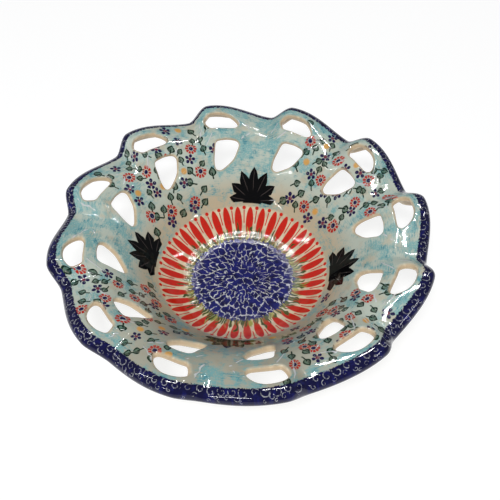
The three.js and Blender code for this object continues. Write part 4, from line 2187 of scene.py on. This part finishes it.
@dataclass
class RolledLip(GlazedPiece):
    """The rounded lip that runs along the waved rim."""

    band_steps: int = 4
    round_steps: int = 12

    def shape(self) -> Clay:
        """Builds a closed ring: inside band, half round, outside band and seam.

        Returns:
            The clay of the piece.
        """
        clay = Clay()
        surface = self.surface
        angles = np.arange(self.rim_columns) * FULL_TURN / self.rim_columns
        along = angles / FULL_TURN * RimCurls.count
        band = surface.sizes.lip_band
        half = surface.sizes.lip_thickness / 2.0
        crest = np.full(self.rim_columns, surface.crest)
        up = surface.normal(crest, angles)
        out = surface.rise(crest, angles)
        centre = surface.inside(crest, angles) - half * up
        rings = []
        for slant in np.linspace(surface.lip_edge, surface.crest, self.band_steps + 1)[:-1]:
            slants = np.full(self.rim_columns, slant)
            rim = np.stack([along, slants - surface.lip_edge], axis=1)
            normals = surface.normal(slants, angles)
            rings.append(clay.add(surface.inside(slants, angles), normals, unroll(slants, angles), rim))
        for turn in np.linspace(0.0, math.pi, self.round_steps + 1):
            way = math.cos(turn) * up + math.sin(turn) * out
            rim = np.stack([along, np.full(self.rim_columns, band + half * turn)], axis=1)
            rings.append(clay.add(centre + half * way, way, unroll(crest, angles), rim))
        for slant in np.linspace(surface.crest, surface.lip_edge, self.band_steps + 1)[1:]:
            slants = np.full(self.rim_columns, slant)
            across = band + half * math.pi + surface.crest - slants
            rim = np.stack([along, across], axis=1)
            normals = -surface.normal(slants, angles)
            rings.append(clay.add(surface.under(slants, angles), normals, unroll(slants, angles), rim))
        for first, second in zip(rings, rings[1:]):
            clay.strip(second, first, Face.INSIDE)
        clay.strip(rings[0], rings[-1], Face.OUTSIDE)
        return clay


@dataclass
class FootRing:
    """The bare clay ring that the bowl stands on, in millimetres."""

    surface: BowlSurface
    name: str = "foot_ring_clay"
    outer_radius: float = 57.0
    width: float = 7.0
    taper: float = 2.0
    edge_round: float = 0.9
    sunk: float = 0.15
    columns: int = 240
    round_steps: int = 4
    probe_span: Span = (30.0, 80.0)
    probe_points: int = 400
    stands_for: tuple[str, ...] = ("foot_ring",)

    def make(self, finish: Material) -> Object:
        """Builds the ring, dresses it and puts it on its body.

        Args:
            finish: Material of the bare clay.

        Returns:
            The finished piece.
        """
        clay = Clay()
        angles = np.arange(self.columns) * FULL_TURN / self.columns
        rings = []
        for radius, height in self._section():
            around = unroll(np.full(self.columns, radius), angles)
            points = np.column_stack([around, np.full(self.columns, height)])
            rings.append(clay.add(points, None, around))
        for first, second in zip(rings, rings[1:] + rings[:1]):
            clay.strip(first, second, Face.INSIDE)
        piece = clay.fire(self.name, float(RimCurls.count))
        piece.data.materials.append(finish)
        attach(piece, "root")
        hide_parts(*self.stands_for)
        return piece

    def _section(self) -> list[tuple[float, float]]:
        """Draws the section of the ring.

        Returns:
            Radius and height of each corner, round the closed outline with the clay on the left.
        """
        outer = self.outer_radius
        inner = outer - self.width
        middle = outer - self.width / 2.0
        top = [(radius, self._under(radius) + self.sunk) for radius in (outer, middle, inner)]
        section = []
        for radius, sign in ((outer - self.taper, 1.0), (inner + self.taper, -1.0)):
            corner = []
            for step in range(self.round_steps + 1):
                turn = step / self.round_steps * math.pi / 2.0
                across = radius + sign * self.edge_round * (math.sin(turn) - 1.0)
                corner.append((across, self.edge_round * (1.0 - math.cos(turn))))
            section.append(corner)
        ring = section[0] + top + section[1][::-1]
        return ring[::-1]

    def _under(self, radius: float) -> float:
        """Height of the bowl's underside.

        Args:
            radius: Distance from the upright axis.

        Returns:
            The height there.
        """
        slants = np.linspace(*self.probe_span, self.probe_points)
        points = self.surface.under(slants, np.zeros(self.probe_points))
        return float(np.interp(radius, points[:, 0], points[:, 2]))


@dataclass(frozen=True)
class Lamp:
    """A rectangular lamp that faces the bowl: place and size in metres, power in watts."""

    name: str
    spot: Point
    wide: float
    tall: float
    power: float


@dataclass
class Studio:
    """Pale floor, soft light and the camera."""

    look_at: Point = (0.0, 0.0, 0.011)
    azimuth: float = -6.7
    elevation: float = 52.9
    distance: float = 0.5805
    lens: float = 53.24
    roll: float = -1.86
    shift: Span = (0.0146, 0.0562)
    sensor: float = 36.0
    floor_size: float = 8.0
    floor_grey: Colour = (0.28, 0.28, 0.28, 1.0)
    floor_glow: Colour = (1.0, 1.0, 1.0, 1.0)
    glow_strength: float = 0.78
    floor_roughness: float = 0.9
    sky: Colour = (0.95, 0.97, 1.0, 1.0)
    sky_seen: float = 1.0
    surround: float = 0.27
    softbox: Lamp = Lamp("softbox", (-0.25, -0.7, 1.25), 0.3, 0.24, 13.8)
    strips: tuple[Lamp, ...] = (
        Lamp("far_strip", (0.06, 0.47, 1.38), 0.36, 0.06, 13.0),
        Lamp("far_left_strip", (-0.24, 0.62, 1.29), 0.2, 0.05, 4.5),
        Lamp("far_right_strip", (0.42, 0.62, 1.25), 0.2, 0.05, 4.5),
        Lamp("left_strip", (-1.0, 0.35, 1.0), 0.012, 0.4, 1.6),
        Lamp("right_strip", (1.0, 0.35, 1.0), 0.012, 0.4, 1.6),
        Lamp("near_left_strip", (-0.95, -0.7, 1.1), 0.36, 0.012, 1.6),
        Lamp("near_right_strip", (0.95, -0.7, 1.1), 0.36, 0.012, 1.6),
    )

    def build(self) -> None:
        """Sets up floor, lights and camera."""
        self._floor()
        self._lights()
        self._camera()
        bpy.context.scene.view_settings.view_transform = "Standard"

    def _floor(self) -> None:
        """Lays the floor, which is clear from below so that the foot can be seen."""
        half = self.floor_size / 2.0
        mesh = bpy.data.meshes.new("floor")
        corners = [(-half, -half, 0.0), (half, -half, 0.0), (half, half, 0.0), (-half, half, 0.0)]
        mesh.from_pydata(corners, [], [(0, 1, 2, 3)])
        floor = bpy.data.objects.new("floor", mesh)
        bpy.context.scene.collection.objects.link(floor)
        material = bpy.data.materials.new("floor_paper")
        material.use_nodes = True
        shader = material.node_tree.nodes["Principled BSDF"]
        shader.inputs["Base Color"].default_value = self.floor_grey
        shader.inputs["Emission Color"].default_value = self.floor_glow
        shader.inputs["Emission Strength"].default_value = self.glow_strength
        shader.inputs["Roughness"].default_value = self.floor_roughness
        tree = material.node_tree
        side = tree.nodes.new("ShaderNodeNewGeometry")
        clear = tree.nodes.new("ShaderNodeBsdfTransparent")
        chosen = tree.nodes.new("ShaderNodeMixShader")
        tree.links.new(side.outputs["Backfacing"], chosen.inputs[0])
        tree.links.new(shader.outputs[0], chosen.inputs[1])
        tree.links.new(clear.outputs[0], chosen.inputs[2])
        tree.links.new(chosen.outputs[0], tree.nodes["Material Output"].inputs["Surface"])
        mesh.materials.append(material)

    def _lights(self) -> None:
        """Hangs a softbox for even light, thin strips for the gloss and a soft surround."""
        self._hang(self.softbox).visible_glossy = False
        for strip in self.strips:
            self._hang(strip).visible_diffuse = False
        world = bpy.data.worlds.new("surround")
        world.use_nodes = True
        tree = world.node_tree
        backdrop = tree.nodes["Background"]
        backdrop.inputs["Color"].default_value = self.sky
        rays = tree.nodes.new("ShaderNodeLightPath")
        level = tree.nodes.new("ShaderNodeMapRange")
        level.inputs["To Min"].default_value = self.surround
        level.inputs["To Max"].default_value = self.sky_seen
        tree.links.new(rays.outputs["Is Camera Ray"], level.inputs["Value"])
        tree.links.new(level.outputs[0], backdrop.inputs["Strength"])
        bpy.context.scene.world = world

    def _hang(self, lamp: Lamp) -> Object:
        """Hangs one lamp that faces the bowl.

        Args:
            lamp: Lamp to hang.

        Returns:
            The lamp as an object.
        """
        data = bpy.data.lights.new(lamp.name, "AREA")
        data.shape = "RECTANGLE"
        data.size = lamp.wide
        data.size_y = lamp.tall
        data.energy = lamp.power
        hung = bpy.data.objects.new(lamp.name, data)
        hung.location = lamp.spot
        hung.rotation_mode = "QUATERNION"
        hung.rotation_quaternion = (Vector(self.look_at) - Vector(lamp.spot)).to_track_quat("-Z", "Y")
        bpy.context.scene.collection.objects.link(hung)
        return hung

    def _camera(self) -> None:
        """Stands the camera at the viewing angle."""
        data = bpy.data.cameras.new("camera")
        data.lens = self.lens
        data.sensor_width = self.sensor
        data.shift_x, data.shift_y = self.shift
        camera = bpy.data.objects.new("camera", data)
        turn = math.radians(self.azimuth)
        lift = math.radians(self.elevation)
        back = Vector((math.sin(turn) * math.cos(lift), -math.cos(turn) * math.cos(lift), math.sin(lift)))
        camera.location = Vector(self.look_at) + back * self.distance
        camera.rotation_mode = "QUATERNION"
        level = (-back).to_track_quat("-Z", "Y")
        camera.rotation_quaternion = level @ Quaternion((0.0, 0.0, 1.0), math.radians(self.roll))
        bpy.context.scene.collection.objects.link(camera)
        bpy.context.scene.camera = camera


def main() -> None:
    """Builds the bowl piece by piece."""
    logging.basicConfig(level=logging.INFO, format="%(name)s: %(message)s")
    sizes = BowlSizes()
    surface = BowlSurface(sizes)
    effects = (
        SpongeClouds(surface),
        GlazeSkin(),
        EdgeBreak(),
        RaggedEdge(),
        SquiggleNet(),
        CobaltLip(),
        StampedSprays(surface),
        LeafFan(surface),
        LobeFolds(surface),
    )
    for effect in effects:
        effect.build()
    lobes = tuple(f"wall_lobe_{number:02d}" for number in range(1, sizes.lobes + 1))
    outside = OutsideGlaze("outside_glaze", band_edge=surface.band_edge, lip_edge=surface.lip_edge).build()
    rayed = RayedBand("rayed_band", start=surface.medallion_edge, end=surface.band_edge)
    netted = CobaltMedallion("cobalt_medallion", edge=surface.medallion_edge + rayed.blue_reach)
    sponged = SpongedWall("sponged_wall", lip_edge=surface.lip_edge)
    scrolled = ScrolledLip("scrolled_lip")
    dressed = (
        (WellMedallion(surface, "well_medallion", ("well_floor",), Slot.COBALT), netted),
        (CoveBand(surface, "cove_band", ("coved_band",), Slot.BAND), rayed),
        (OpenworkWall(surface, "openwork_wall", lobes, Slot.WALL), sponged),
        (RolledLip(surface, "rolled_lip_glazed", ("rolled_lip",), Slot.COBALT), scrolled),
    )
    for piece, finish in dressed:
        made = piece.make(finish.build(), outside)
        log.info("%s: %d faces", made.name, len(made.data.polygons))
    foot = FootRing(surface).make(BareClay("bare_clay").build())
    log.info("%s: %d faces", foot.name, len(foot.data.polygons))
    Studio().build()


if __name__ == "__main__":
    main()
